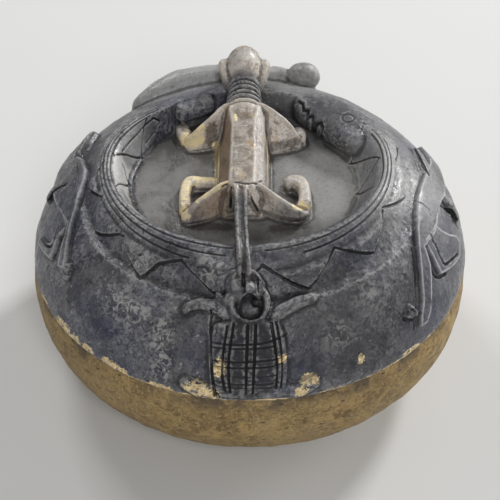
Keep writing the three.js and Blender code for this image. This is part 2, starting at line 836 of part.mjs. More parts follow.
function bowlSolid() {
  const bulgeHeight = BOWL_HEIGHT - BULGE_DROP;
  const lipTop = BOWL_HEIGHT + LIP_HEIGHT;
  const outside = bellyCurve(BASE_RADIUS, BULGE_RADIUS, bulgeHeight, 0, 10);
  for (const share of [0.35, 0.7, 1]) {
    const radius = BULGE_RADIUS - (BULGE_RADIUS - SEAT_RADIUS) * share ** 2;
    outside.push([radius, bulgeHeight + BULGE_DROP * share]);
  }
  const body = lathe(
    [[0, 0], ...outside, [LIP_OUTER_RADIUS, BOWL_HEIGHT], [LIP_OUTER_RADIUS, lipTop], [0, lipTop]],
    BOWL_STEPS,
  );
  const cavityWidest = BULGE_RADIUS - BOWL_WALL;
  const cavityProfile = bellyCurve(BASE_RADIUS, cavityWidest, bulgeHeight - BOWL_FLOOR, BOWL_FLOOR, 7);
  const cutTop = lipTop + 1;
  const mouth = [[LIP_INNER_RADIUS, BOWL_HEIGHT], [LIP_INNER_RADIUS, cutTop], [0, cutTop]];
  const cavity = lathe([[0, BOWL_FLOOR], ...cavityProfile, ...mouth], BOWL_STEPS);
  return body.subtract(cavity.subtract(dividers(cavityWidest)));
}

// A round wall in the middle, with straight walls from it out to the side
function dividers(reach) {
  const top = BOWL_HEIGHT - DIVIDER_DROP;
  const wellOuter = WELL_RADIUS + DIVIDER_THICKNESS;
  const ring = [[WELL_RADIUS, 0], [wellOuter, 0], [wellOuter, top], [WELL_RADIUS, top], [WELL_RADIUS, 0]];
  const tube = lathe(ring, 40);
  const length = reach - WELL_RADIUS;
  const walls = [tube];
  for (let i = 0; i < DIVIDER_COUNT; i++) {
    const wall = new THREE.BoxGeometry(length, DIVIDER_THICKNESS, top);
    wall.translate(WELL_RADIUS + DIVIDER_THICKNESS / 2 + length / 2, 0, top / 2);
    wall.rotateZ((2 * Math.PI * (i + 0.5)) / DIVIDER_COUNT);
    walls.push(solidFromGeometry(wall));
  }
  return joined(walls);
}

// The scene

function meshFrom(name, solid, material) {
  const { vertProperties, triVerts } = solid.getMesh();
  const geometry = new THREE.BufferGeometry();
  geometry.setAttribute("position", new THREE.BufferAttribute(Float32Array.from(vertProperties), 3));
  geometry.setIndex(new THREE.BufferAttribute(Uint32Array.from(triVerts), 1));
  geometry.computeVertexNormals();
  const mesh = new THREE.Mesh(geometry, new THREE.MeshStandardMaterial(material));
  mesh.name = name;
  return mesh;
}

const bowl = meshFrom("bowl", bowlSolid(), { color: 0xa98a58, roughness: 0.75, metalness: 0 });
const lid = meshFrom("lid", lidSolid(), { color: 0x3a3b42, roughness: 0.6, metalness: 0 });
lid.position.z = BOWL_HEIGHT + SEAT_GAP;

const divinationBowl = new THREE.Group();
divinationBowl.add(bowl, lid);

export default divinationBowl;
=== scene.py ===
import math

import bmesh
import bpy
import numpy as np
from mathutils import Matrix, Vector, noise
from mathutils.bvhtree import BVHTree
from mathutils.kdtree import KDTree


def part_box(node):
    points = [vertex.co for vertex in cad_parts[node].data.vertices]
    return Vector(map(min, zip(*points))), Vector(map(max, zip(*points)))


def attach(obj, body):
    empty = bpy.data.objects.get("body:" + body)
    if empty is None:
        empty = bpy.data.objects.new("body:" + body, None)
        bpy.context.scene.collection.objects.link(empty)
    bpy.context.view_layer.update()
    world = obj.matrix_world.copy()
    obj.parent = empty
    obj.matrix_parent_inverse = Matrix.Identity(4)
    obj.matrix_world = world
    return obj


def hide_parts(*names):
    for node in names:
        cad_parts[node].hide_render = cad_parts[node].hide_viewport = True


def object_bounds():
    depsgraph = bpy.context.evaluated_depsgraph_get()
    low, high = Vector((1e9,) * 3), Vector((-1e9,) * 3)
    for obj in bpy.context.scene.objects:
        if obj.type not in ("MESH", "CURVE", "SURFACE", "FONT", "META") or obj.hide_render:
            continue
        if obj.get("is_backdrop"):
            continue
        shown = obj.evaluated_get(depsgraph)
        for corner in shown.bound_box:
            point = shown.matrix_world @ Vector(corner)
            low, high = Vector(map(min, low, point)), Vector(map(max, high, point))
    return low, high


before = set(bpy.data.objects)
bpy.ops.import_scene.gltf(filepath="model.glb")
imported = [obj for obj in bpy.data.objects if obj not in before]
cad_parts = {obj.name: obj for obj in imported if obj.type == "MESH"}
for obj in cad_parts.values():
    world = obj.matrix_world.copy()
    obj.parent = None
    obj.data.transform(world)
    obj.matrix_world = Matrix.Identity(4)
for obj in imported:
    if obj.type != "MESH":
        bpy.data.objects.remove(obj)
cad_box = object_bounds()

# A lidded divination bowl of carved wood. The CAD holds the sizes; here the lid and the bowl are made
# again as fine meshes with their carving, and given their wood, stain and wear.
# Sizes are in millimetres. The lid's are measured from the middle of its lower edge, with +Z up.
# Azimuth 0 is the front (-Y), where the tortoise is, and 90 is +X.
MM = 0.001
LID_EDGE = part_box("lid")[0].z / MM
SEED = 7

# What stands for no distance found, and the factors that lay points flat in plan
FAR = 1e9
FLAT = (1, 1, 0)

# Camera, fitted to the photograph's rim line and outline
PHOTO_WIDTH = 500
CAMERA_DISTANCE = 1.3
CAMERA_ELEVATION = math.radians(40.16)
AIM_HEIGHT = 0.156
FOCAL_PIXELS = 1409.2
SENSOR_WIDTH = 36
SHIFT = (0.0008, -0.0819)

# Lid, as in the CAD
LID_RADIUS = 201
DOME_RISE = 139
DOME_POWER = 1.67
LIP_RADIUS = 186.3
HOLLOW_RISE = 58
HOLLOW_POWER = 3
BASIN_RADIUS = 101
BASIN_HEIGHT = 71
BASIN_SHIFT = (-5, -2)
BACK_WALL_RUN = 8
SHELF_HEIGHT = 99.5
SHELF_ROUNDING = 4
RIDGE_INNER = 121
RIDGE_OUTER = 131.5
RIDGE_FRONT_INWARD = 6.5
RIDGE_FRONT_OUTWARD = 4
RIDGE_LEFTWARD = 3
RIDGE_PROUD = 4.5
RIDGE_OUTER_SHARE = 0.85
RIDGE_FOOT_RUN = 8
RIDGE_FULL = 95
RIDGE_END = 138
COVE_FRONT_RADIUS = 159
COVE_SIDE_RADIUS = 147
COVE_DEPTH = 6
COVE_START = 0.12
COVE_FULL = 50
COVE_END = 110

# Bowl, as in the CAD
BOWL_HEIGHT = 116
BASE_RADIUS = 68
BULGE_RADIUS = 203
BULGE_DROP = 22
SEAT_RADIUS = 199
BOWL_POWER = 2.4
BOWL_WALL = 19
BOWL_FLOOR = 18
BOWL_LIP = (177, 185, 8)
WELL_RADIUS = 46
DIVIDER_THICKNESS = 9
DIVIDER_TOP = 102

# How far solids are sunk into what they stand on, and how far a limb is cut back below its front face
SUNK = 4
WALL_SUNK = 5
UNDERCUT = 9

# The adze's scoops: how far apart they are on the lid and on the bowl, how much each one leans, and how
# strong they are under the lid, on the animal and on the basin's floor, against those on the dome
LID_SCOOPS = 9
BOWL_SCOOPS = 13
SCOOP_LEAN = 0.012
SCOOPED_UNDER = 1.6
SCOOPED_FIGURE = 0.8
SCOOPED_FLOOR = 0.6

# Fineness of the meshes, and how far beside a groove the lid's mesh is made finer
LID_VOXEL = 1.35
BOWL_VOXEL = 2.3
REFINED = 1.6


# Small helpers

def mix(a, b, t):
    return a + (b - a) * t


def smoothstep(value, low, high):
    t = np.clip((value - low) / (high - low), 0, 1)
    return t * t * (3 - 2 * t)


def from_front(azimuth, full, end):
    """1 up to azimuth `full` on either side of the front, falling to 0 at `end`"""
    return 1 - smoothstep(np.abs(azimuth), full, end)


def unit(vectors):
    return vectors / np.maximum(np.linalg.norm(vectors, axis=-1, keepdims=True), 1e-9)


# The dome

def dome_height(radius):
    share = np.clip(radius / LID_RADIUS, 0, 1)
    return DOME_RISE * (1 - share ** DOME_POWER) ** (1 / DOME_POWER)


def dome_radius(height):
    share = np.clip(height / DOME_RISE, 0, 1)
    return LID_RADIUS * (1 - share ** DOME_POWER) ** (1 / DOME_POWER)


def around(azimuth, radius, height):
    angle = np.radians(azimuth)
    return np.stack(np.broadcast_arrays(radius * np.sin(angle), -radius * np.cos(angle), height), -1)


def azimuth_of(points):
    return np.degrees(np.arctan2(points[:, 0], -points[:, 1]))


def dome_slope(points):
    """Gradient of the dome's equation, which is 1 on the dome, and its value"""
    radius = np.maximum(np.hypot(points[:, 0], points[:, 1]), 1e-6)
    height = np.maximum(points[:, 2], 1)
    out = (radius / LID_RADIUS) ** (DOME_POWER - 1) * DOME_POWER / LID_RADIUS
    rise = (height / DOME_RISE) ** (DOME_POWER - 1) * DOME_POWER / DOME_RISE
    slope = np.stack([points[:, 0] / radius * out, points[:, 1] / radius * out, rise], -1)
    value = (radius / LID_RADIUS) ** DOME_POWER + (height / DOME_RISE) ** DOME_POWER
    return slope, value


def dome_normal(points):
    return unit(dome_slope(points)[0])


def on_dome(azimuth, height, proud=0.0):
    point = around(np.float64(azimuth), dome_radius(height), np.float64(height))
    return point + proud * dome_normal(point[None])[0]


def dome_foot(points):
    """The places on the dome that points near it stand over"""
    foot = points.copy()
    for _ in range(4):
        slope, value = dome_slope(foot)
        foot -= slope * ((value - 1) / (slope ** 2).sum(-1))[:, None]
    return foot


def shelf_height(radius):
    above = (SHELF_HEIGHT - dome_height(radius)) / SHELF_ROUNDING
    return SHELF_HEIGHT - SHELF_ROUNDING * np.log1p(np.exp(above))


# The lid's shell

def ridge_band(azimuth):
    """Inner and outer radius of the ridge's top, and how much of the ridge there is"""
    ridge = from_front(azimuth, RIDGE_FULL, RIDGE_END)
    front = from_front(azimuth, 10, 85)
    leftward = RIDGE_LEFTWARD * np.sin(np.radians(azimuth))
    ridge_inner = RIDGE_INNER - front * RIDGE_FRONT_INWARD - leftward
    ridge_outer = RIDGE_OUTER + front * RIDGE_FRONT_OUTWARD - leftward
    back_inner = BASIN_RADIUS + BACK_WALL_RUN
    inner = mix(back_inner, ridge_inner, ridge)
    outer = mix(back_inner + ridge_outer - ridge_inner, ridge_outer, ridge)
    return inner, outer, ridge


def lid_sections(azimuth):
    """Radii and heights of the lid's top, for a column of azimuths, from the middle to the lower edge"""
    inner, outer, ridge = ridge_band(azimuth)
    cove = from_front(azimuth, COVE_FULL, COVE_END)
    edge = mix(COVE_SIDE_RADIUS, COVE_FRONT_RADIUS, cove)
    foot = outer + RIDGE_FOOT_RUN

    share = np.linspace(0, 1, 40)[None, 1:-1]
    radii = [BASIN_RADIUS * share + 0 * azimuth]
    heights = [BASIN_HEIGHT + 0 * radii[0]]

    share = np.linspace(0, 1, 16)[None]
    rise = mix(share, smoothstep(share, 0, 1), 0.75)
    radii.append(mix(BASIN_RADIUS, inner, share))
    heights.append(mix(BASIN_HEIGHT, shelf_height(inner), rise))

    share = np.linspace(0, 1, 12)[None, 1:]
    proud = np.interp(share, [0, 0.2, 0.45, 0.75, 1], [0, 0.7, 1, 1.05, RIDGE_OUTER_SHARE])
    radii.append(mix(inner, outer, share))
    heights.append(shelf_height(radii[-1]) + ridge * RIDGE_PROUD * proud)

    share = np.linspace(0, 1, 7)[None, 1:]
    radii.append(mix(outer, foot, share))
    cut = cove * COVE_DEPTH * math.sin(math.pi * COVE_START) * share
    heights.append(shelf_height(radii[-1]) + ridge * RIDGE_PROUD * RIDGE_OUTER_SHARE * (1 - share) - cut)

    share = np.linspace(0, 1, 14)[None, 1:]
    radii.append(mix(foot, edge, share))
    hollow = cove * COVE_DEPTH * np.sin(math.pi * mix(COVE_START, 1, share))
    heights.append(shelf_height(radii[-1]) - hollow)

    share = np.linspace(0, 1, 60)[None, 1:]
    below = shelf_height(edge) * (1 - share)
    radii.append(dome_radius(below))
    heights.append(below)
    return np.concatenate(radii, 1), np.concatenate(heights, 1)


def hollow_radius(height):
    return LIP_RADIUS * (1 - np.clip(height / HOLLOW_RISE, 0, 1) ** HOLLOW_POWER) ** (1 / HOLLOW_POWER)


def lid_shell(turns=360):
    azimuth = np.linspace(-180, 180, turns, endpoint=False)[:, None]
    radii, heights = lid_sections(azimuth)
    fade = 1 - smoothstep(radii, BASIN_RADIUS, RIDGE_INNER)
    top = around(azimuth, radii, heights)
    top[..., 0] += fade * BASIN_SHIFT[0]
    top[..., 1] += fade * BASIN_SHIFT[1]
    climb = HOLLOW_RISE * np.sin(np.linspace(0, math.pi / 2, 50))[None, :-1]
    under = around(azimuth, hollow_radius(climb), climb + 0 * azimuth)
    rings = np.concatenate([top, under], 1).transpose(1, 0, 2)
    return loft([*BASIN_SHIFT, BASIN_HEIGHT], rings, [0, 0, HOLLOW_RISE])


# Solids. Each is a pair: points, and faces as tuples of their numbers.

def loft(start, rings, end):
    rings = np.asarray(rings, float)
    count, size = rings.shape[:2]
    points = np.concatenate([[start], rings.reshape(-1, 3), [end]])
    last = len(points) - 1
    first_ring = 1 + np.arange(size)
    last_ring = first_ring + (count - 1) * size
    faces = [(0, b, a) for a, b in zip(first_ring, np.roll(first_ring, -1))]
    faces += [(last, a, b) for a, b in zip(last_ring, np.roll(last_ring, -1))]
    grid = 1 + np.arange(count * size).reshape(count, size)
    right = np.roll(grid, -1, 1)
    quads = np.stack([grid[:-1], right[:-1], right[1:], grid[1:]], -1).reshape(-1, 4)
    return points, faces + [tuple(quad) for quad in quads.tolist()]


def outline(power=2.0, sides=24):
    """A section from round (power 2) to boxy (power 5), in a square from -1 to 1"""
    angle = 2 * math.pi * (np.arange(sides) + 0.5) / sides
    c, s = np.cos(angle), np.sin(angle)
    return np.stack([np.sign(c) * np.abs(c) ** (2 / power), np.sign(s) * np.abs(s) ** (2 / power)], -1)


def smooth_path(stops, steps):
    """Catmull-Rom curve through rows of numbers, at even steps from 0 to 1"""
    stops = np.asarray(stops, float)
    before = 2 * stops[0] - stops[1]
    after = 2 * stops[-1] - stops[-2]
    p = np.concatenate([[before], stops, [after]])
    place = np.asarray(steps) * (len(stops) - 1)
    i = np.minimum(place.astype(int), len(stops) - 2)
    t = (place - i)[:, None]
    a, b, c, d = p[i], p[i + 1], p[i + 2], p[i + 3]
    bent = (2 * a - 5 * b + 4 * c - d) * t ** 2 + (3 * b - a - 3 * c + d) * t ** 3
    return 0.5 * (2 * b + (c - a) * t + bent)


def swell(path, widths, heights, up=None, section=None, steps=28, cap=0.12):
    """A limb or raised form: a section carried along a curve, swelling and tapering, with rounded ends"""
    section = outline() if section is None else section
    share = 0.5 - 0.5 * np.cos(math.pi * np.arange(1, steps) / steps)
    rows = np.column_stack([np.asarray(path, float), widths, heights])
    at = smooth_path(rows, share)
    ahead = smooth_path(rows, np.minimum(share + 0.01, 1))[:, :3]
    behind = smooth_path(rows, np.maximum(share - 0.01, 0))[:, :3]
    tangent = unit(ahead - behind)
    upward = np.tile([0.0, 0.0, 1.0], (len(at), 1)) if up is None else up(at[:, :3])
    side = unit(np.cross(tangent, upward))
    rise = np.cross(side, tangent)
    from_end = np.minimum(np.minimum(share, 1 - share), cap) / cap
    size = np.sqrt(1 - (1 - from_end) ** 2)
    across = section[None, :, 0] * (np.maximum(at[:, 3], 0.5) * size)[:, None]
    out = section[None, :, 1] * (np.maximum(at[:, 4], 0.5) * size)[:, None]
    rings = at[:, None, :3] + across[..., None] * side[:, None] + out[..., None] * rise[:, None]
    return loft(path[0], rings, path[-1])


def relief(stops, power=3.0, steps=32, cap=0.12):
    """A raised form laid along the dome. Each stop is azimuth, height, half width and how proud."""
    azimuths, heights, widths, proud = zip(*stops)
    path = [on_dome(*place) for place in zip(azimuths, heights)]
    return swell(path, widths, proud, up=dome_normal, section=outline(power), steps=steps, cap=cap)


def ball(centre, radii, tilt=0.0, steps=20):
    """An ellipsoid, tipped back by `tilt` degrees about X"""
    latitude = np.linspace(-90, 90, steps + 1)[1:-1]
    angle = np.radians(np.arange(2 * steps) * 180 / steps)
    c, s = np.cos(np.radians(latitude))[:, None], np.sin(np.radians(latitude))[:, None]
    rings = np.stack(np.broadcast_arrays(c * np.cos(angle), c * np.sin(angle), s + 0 * angle), -1)
    points, faces = loft([0, 0, -1], rings, [0, 0, 1])
    points = points * radii
    c, s = math.cos(math.radians(tilt)), math.sin(math.radians(tilt))
    turn = np.array([[1, 0, 0], [0, c, s], [0, -s, c]])
    return points @ turn + centre, faces


def together(solids):
    points, faces, count = [], [], 0
    for solid_points, solid_faces in solids:
        points.append(solid_points)
        faces += [tuple(i + count for i in face) for face in solid_faces]
        count += len(solid_points)
    return np.concatenate(points), faces


# The lid's reliefs, in azimuth, height, half width and how proud

TORTOISE_STRIPS = [
    # shell, head, rim of the hollow, arc over the head, then the limbs; after the stops, what relief() takes
    ([[-0.9, 63, 26, 8], [-0.6, 50, 31, 9], [-0.5, 30, 32.5, 7.5], [-0.4, 14, 31, 5], [-0.4, 4, 28, 2.5]],
     3.6, 32, 0.05),
    ([[-1.6, 90, 8, 9], [-1.6, 83, 16, 14], [-1.4, 77, 16, 14], [-1.2, 71, 11, 8]], 2.3, 32, 0.25),
    ([[-6, 78, 2.2, 9], [-5.2, 71, 2.6, 11], [-3.6, 64.5, 2.6, 11], [0.2, 62.4, 2.4, 10.5],
      [3.8, 64.5, 2.6, 11], [5.1, 72, 2.8, 12], [4.2, 80, 2.2, 12]], 3, 60),
    ([[-6, 80, 1.8, 13], [-4.6, 85.5, 1.8, 14.5], [-1.3, 88.3, 2, 15.5], [2, 86, 1.8, 15],
      [4.2, 80, 1.6, 13]], 2.4, 50),
    ([[-10.5, 76.5, 2.5, 5], [-8.4, 73, 3, 7], [-5.5, 66, 3, 8], [-4, 62, 3, 8]],),
    ([[-4, 62, 6, 7], [-8, 67, 6, 8], [-13, 69, 5.5, 8], [-17.3, 66.5, 5, 6], [-19, 61, 3.5, 4]],),
    ([[5, 61, 6, 7], [9, 66, 6, 8], [14, 69.5, 5.5, 7], [18, 70.5, 4.5, 5], [20.5, 72, 3, 3]],),
    ([[-7, 12, 6, 4], [-12, 9, 7, 4.5], [-17, 15, 5, 4]], 2.6),
    ([[7, 12, 6, 4], [12, 9, 7, 4.5], [17, 15, 5, 4]], 2.6),
]


def tortoise():
    knobs = [
        ball(on_dome(-4.0, 80.5, 11.5), [5, 6, 5.5]), ball(on_dome(-0.4, 79.0, 12.5), [5.5, 6.5, 5.5]),
        ball(on_dome(-5.6, 73.5, 6.5), [6, 5.5, 6]),
    ]
    return [relief(*strip) for strip in TORTOISE_STRIPS] + knobs


def lizard(side, upper_arm, lower_arm, tail_knob):
    """The round parts of a lizard; its body and legs are slabs"""
    turned = lambda stops: [[side * stop[0], *stop[1:]] for stop in stops]
    azimuth, height = tail_knob
    return [
        relief(turned(upper_arm), power=2.6),
        relief(turned(lower_arm), power=2.6),
        ball(on_dome(side * azimuth, height + 2.5, 2), [4.5, 4.5, 4]),
        ball(on_dome(side * azimuth + 1.2, height - 2.5, 1.5), [4, 4, 3.5]),
        ball(on_dome(side * azimuth - 1.2, height - 2, 1.2), [3.5, 3.5, 3.5]),
    ]


def lizards():
    right = lizard(
        1,
        upper_arm=[[91, 67, 6, 5.5], [99, 68, 7, 6.5], [108.5, 69, 6, 6]],
        lower_arm=[[90, 57, 5.5, 5.5], [88.5, 45, 6, 6.5], [87, 32, 4.5, 5]],
        tail_knob=(46.5, 34),
    )
    left = lizard(
        -1,
        upper_arm=[[103, 68, 5, 8], [110, 69.5, 5.5, 9], [117, 69, 5, 8]],
        lower_arm=[[91, 66, 4.5, 6], [93, 53, 5, 7], [93, 39, 4, 5]],
        tail_knob=(60.5, 45),
    )
    return right + left


def back_animal():
    body = relief(
        [[-134, 73, 10, 6.6], [-142, 78, 17, 14], [-150, 81, 20, 18.5], [-159, 83, 20, 18.5],
         [-173, 83, 20, 16.5], [-188, 83, 15, 14], [-199, 84.5, 9, 13]],
        power=2.6, steps=44, cap=0.06,
    )
    head = ball(on_dome(159, 86, 8.5), [16, 14.5, 14])
    neck = relief([[165, 86, 7, 13], [170.5, 85, 7.5, 15], [175, 84, 7, 10]], power=2.4)
    return [body, head, neck]


def ridge_head(azimuths, widths, proud, out):
    path = [around(np.float64(a), BASIN_RADIUS + out, np.float64(SHELF_HEIGHT - proud - 1)) for a in azimuths]
    return swell(path, widths, [proud] * len(path), section=outline(2.4))


def ridge_heads():
    right = ridge_head([106, 119, 134, 148, 157], [9, 18, 22, 17, 9], proud=14, out=7)
    left = ridge_head([-138, -147, -154, -161], [6, 10, 10, 7], proud=9, out=3)
    return [right, left]


# The animal in the basin, crouching with its back to the front. Its limbs are blocks with an upright
# front face and a sharp crest, behind which they slope down to the floor.

def sections(rows, steps=24):
    """A solid through rows of ring points, the first and last ring closed flat"""
    rows = np.asarray(rows, float)
    count, size = rows.shape[:2]
    rings = smooth_path(rows.reshape(count, -1), np.linspace(0, 1, steps)).reshape(steps, size, 3)
    return loft(rings[0].mean(0), rings, rings[-1].mean(0))


def crested(stations, hem, steps=24):
    """A limb from stations of crest x, y, z, then y of the front and of the back foot. Its front face
    stops at height `hem` and is cut back below it."""
    rows = []
    for x, y, z, front, back in stations:
        cut = min(hem - BASIN_HEIGHT, UNDERCUT)
        rows.append([
            [x, front + cut, BASIN_HEIGHT - SUNK], [x, front, hem],
            [x, mix(front, y, 0.9), mix(hem, z, 0.86)], [x, y + 1.2, z], [x, y + 4.2, z - 1],
            [x, mix(y + 4, back, 0.5), mix(z, BASIN_HEIGHT, 0.42)], [x, back, BASIN_HEIGHT + 1],
            [x, back, BASIN_HEIGHT - SUNK],
        ])
    return sections(rows, steps)


def torso():
    # along y, then x of the base's left, the top's left and right, the chamfer, the base's right, and height
    stations = [
        [-50, -22, -12, 0, 5, 12, 95], [-43, -27, -17.5, 3, 10, 16, 104.5],
        [-20, -29, -17.5, 4.5, 12.5, 18, 107], [15, -29.5, -17, 4.5, 12.5, 18.5, 107.5],
        [45, -29, -17, 5, 12.5, 18.5, 108], [64, -27, -19, 8, 14, 18, 108],
        [73, -26, -18, 8, 13, 17, 107.5], [84, -23, -16, 6, 11, 14, 100],
    ]
    rows = []
    low = BASIN_HEIGHT - SUNK
    for y, left, top_left, top_right, chamfer, right, z in stations:
        rows.append([
            [left - 2, y, low], [left, y, low + 7], [mix(left, top_left, 0.55), y, mix(low, z, 0.62)],
            [top_left, y, z - 0.8], [mix(top_left, top_right, 0.5), y, z + 0.4], [top_right, y, z - 0.8],
            [chamfer, y, z - 8], [right, y, low + 5], [right + 1, y, low],
        ])
    return sections(rows[::-1], 40)


NECK_START = np.array([-5.0, 72.0, 92.2])
NECK_TILT = 26
NECK_LEAN = np.array([0, math.cos(math.radians(NECK_TILT)), math.sin(math.radians(NECK_TILT))])
NECK_LENGTH = 36
NECK_RADIUS = 16.8
NECK_RINGS = (70.6, 75.5, 80.3, 85.1, 90, 94.6)
NECK_CUT = (1.5, 2.2)


def neck_and_head():
    rise = np.array([0, -NECK_LEAN[2], NECK_LEAN[1]])
    section = outline(2.2, 48)
    along = lambda share: NECK_START + NECK_LEAN * NECK_LENGTH * share
    loops = []
    for step in np.linspace(-0.35, 1, 40):
        size = NECK_RADIUS * mix(1.1, 0.86, max(step, 0))
        loops.append(along(step) + size * (section[:, :1] * np.array([1.0, 0, 0]) + section[:, 1:] * rise))
    skull = NECK_START + NECK_LEAN * (NECK_LENGTH + 14)
    solids = [
        loft(along(-0.36), loops, along(1.01)), ball(skull, [18.3, 25, 18], NECK_TILT),
        ball(skull + [0, 18, -5], [11.5, 13, 9.5]),
    ]
    for side in (-1, 1):
        x = NECK_START[0] + side * 17.5
        ear = [[x - side * 2, 125, 117], [x + side * 1.5, 119, 116], [x + side, 110, 112],
               [x - side * 2, 102, 107], [x - side * 5, 95, 103]]
        sizes = [4, 5.5, 4, 2.8, 1.8], [5, 8.5, 7.5, 5.5, 3]
        solids.append(swell(ear, *sizes, section=outline(2.8), steps=30))
        solids.append(ball(skull + [side * 10, 14, 7], [4.5, 5, 4]))
    return solids


def neck_grooves(points):
    """1 in the middle of the ring grooves of the neck, 0 away from them"""
    from_start = points - NECK_START
    along = from_start @ NECK_LEAN
    from_axis = np.linalg.norm(from_start - along[:, None] * NECK_LEAN, axis=1)
    nearest = np.min([np.abs(points[:, 1] - ring) for ring in NECK_RINGS], axis=0)
    on_neck = (from_axis < 19.5) * (along > -4) * (along < NECK_LENGTH)
    return np.clip(1 - nearest / NECK_CUT[0], 0, 1) * on_neck


# How boxy the sections of the hands and shins are
BOXY = 3.6


def arms():
    left = crested([
        [-6, 72, 107, 52, 88], [-22, 71, 106.5, 55, 88], [-34, 58, 103.5, 49, 84], [-46, 49, 97.5, 45.5, 76],
        [-55, 47.5, 88, 44.5, 70], [-60.5, 51, 81, 48, 66],
    ], hem=74)
    right = crested([
        [-4, 72, 107, 44, 88], [11.5, 71, 107, 42, 88], [28, 59, 103, 43, 82], [39, 52, 96, 47, 76],
        [45, 50, 87, 48.5, 70], [48.5, 52, 80.5, 51, 64],
    ], hem=73)
    left_hand = [[-57, 52, 79], [-62, 64, 77], [-64, 78, 75]]
    right_hand = [[47, 54, 79], [46, 63, 77], [43, 72, 74]]
    depth = [7, 6.5, 5.5]
    return [
        left, right, swell(left_hand, [7, 7, 6.5], depth, section=outline(BOXY)),
        swell(right_hand, [6.5, 6.5, 6], depth, section=outline(BOXY)),
    ]


def legs():
    left = crested([
        [-8, -38, 104, -45, -22], [-24, -41, 103, -46, -24], [-34, -47, 99, -53, -27],
        [-46, -52, 92, -58, -31], [-55, -56, 84, -60, -37], [-60, -55, 79, -58, -44],
    ], hem=75)
    right = crested([
        [-2, -38, 104, -44, -22], [8, -42, 104, -47, -24], [22, -51, 99, -56, -28], [37, -57, 91, -61, -33],
        [46, -57, 85, -60, -38], [52, -53, 80, -55, -42],
    ], hem=81)
    left_shin = [
        [-56, -52, 79], [-57.5, -36, 78], [-57, -18, 77.5], [-53, -9, 77], [-44, -7.5, 76], [-28, -7, 75],
    ]
    right_shin = [
        [48, -50, 81], [49, -34, 80], [48, -20, 79.5], [44.5, -12.5, 79], [38, -9.5, 78], [31, -12, 76],
    ]
    boxy = {"section": outline(BOXY), "steps": 44, "cap": 0.05}
    return [
        left, right, swell(left_shin, [6, 5, 4.8, 5.5, 5.5, 5], [8, 7, 6.5, 6.5, 6, 5.5], **boxy),
        swell(right_shin, [6.5, 5.5, 5.5, 6.5, 6, 5], [9, 8, 8, 8, 7, 6], **boxy),
    ]


def tail():
    section = np.array([
        [1, -1], [1.05, 0.4], [0.85, 0.95], [0.5, 0.9], [0.2, 0.45], [-0.2, 0.45], [-0.5, 0.9], [-0.85, 0.95],
        [-1.05, 0.4], [-1, -1],
    ])
    path = [[-8, -38, 98], [-7.5, -62, 101], [-7, -92, 104], [-6, -120, 106], [-5, -138, 103], [-4, -152, 95]]
    widths, heights = [6.5, 5.6, 5.6, 5.6, 5.6, 5.5], [7, 5.5, 5, 5, 5, 5]
    return swell(path, widths, heights, section=section, steps=60, cap=0.02)


def figure():
    return [torso(), *neck_and_head(), *arms(), *legs(), tail()]


# Meshes

def object_from(name, points, faces):
    """A Blender object in metres, from points in millimetres"""
    mesh = bpy.data.meshes.new(name)
    mesh.from_pydata((points * MM).tolist(), [], faces)
    mesh.validate()
    made = bpy.data.objects.new(name, mesh)
    bpy.context.scene.collection.objects.link(made)
    return made


def fuse(piece, voxel):
    """Joins overlapping solids into one skin of even little faces"""
    modifier = piece.modifiers.new("fuse", "REMESH")
    modifier.mode = "VOXEL"
    modifier.voxel_size = voxel * MM
    modifier.adaptivity = 0
    graph = bpy.context.evaluated_depsgraph_get()
    fused = bpy.data.meshes.new_from_object(piece.evaluated_get(graph), depsgraph=graph)
    piece.modifiers.clear()
    piece.data = fused


def coordinates(mesh):
    flat = np.empty(len(mesh.vertices) * 3, np.float32)
    mesh.vertices.foreach_get("co", flat)
    return flat.reshape(-1, 3).astype(float) / MM


def normals(mesh):
    flat = np.empty(len(mesh.vertices) * 3, np.float32)
    mesh.vertices.foreach_get("normal", flat)
    return flat.reshape(-1, 3).astype(float)


def set_coordinates(mesh, points):
    mesh.vertices.foreach_set("co", (points * MM).astype(np.float32).ravel())
    mesh.update()


def edge_ends(mesh):
    flat = np.empty(len(mesh.edges) * 2, np.int32)
    mesh.edges.foreach_get("vertices", flat)
    return flat.reshape(-1, 2)


def averaged(values, ends, times=1):
    """Each vertex's value averaged with those of its neighbours"""
    count = len(values)
    a, b = ends.T
    degree = np.bincount(ends.ravel(), minlength=count)
    for _ in range(times):
        total = [np.bincount(a, column[b], count) + np.bincount(b, column[a], count) for column in values.T]
        values = 0.5 * values + 0.5 * np.stack(total, -1) / np.maximum(degree, 1)[:, None]
    return values


def attribute(mesh, name, values):
    layer = mesh.attributes.new(name, "FLOAT", "POINT")
    layer.data.foreach_set("value", np.asarray(values, np.float32))


# Marks on the surface, and how far from a line and from a polygon's border they are worked out
LINE_REACH = 12
BORDER_REACH = 5


def segment_distances(places, a, b):
    run = b - a
    t = np.clip((places - a) @ run / max(run @ run, 1e-9), 0, 1)
    return np.linalg.norm(places - a - t[:, None] * run, axis=1)


def line_distance(points, line):
    """Distance from each point to a line through 3-D stops, or a large number far away from it"""
    line = np.asarray(line, float)
    low, high = line.min(0) - LINE_REACH, line.max(0) + LINE_REACH
    near = np.all((points >= low) & (points <= high), axis=1)
    nearest = np.full(len(points), FAR)
    for a, b in zip(line[:-1], line[1:]):
        nearest[near] = np.minimum(nearest[near], segment_distances(points[near], a, b))
    return nearest


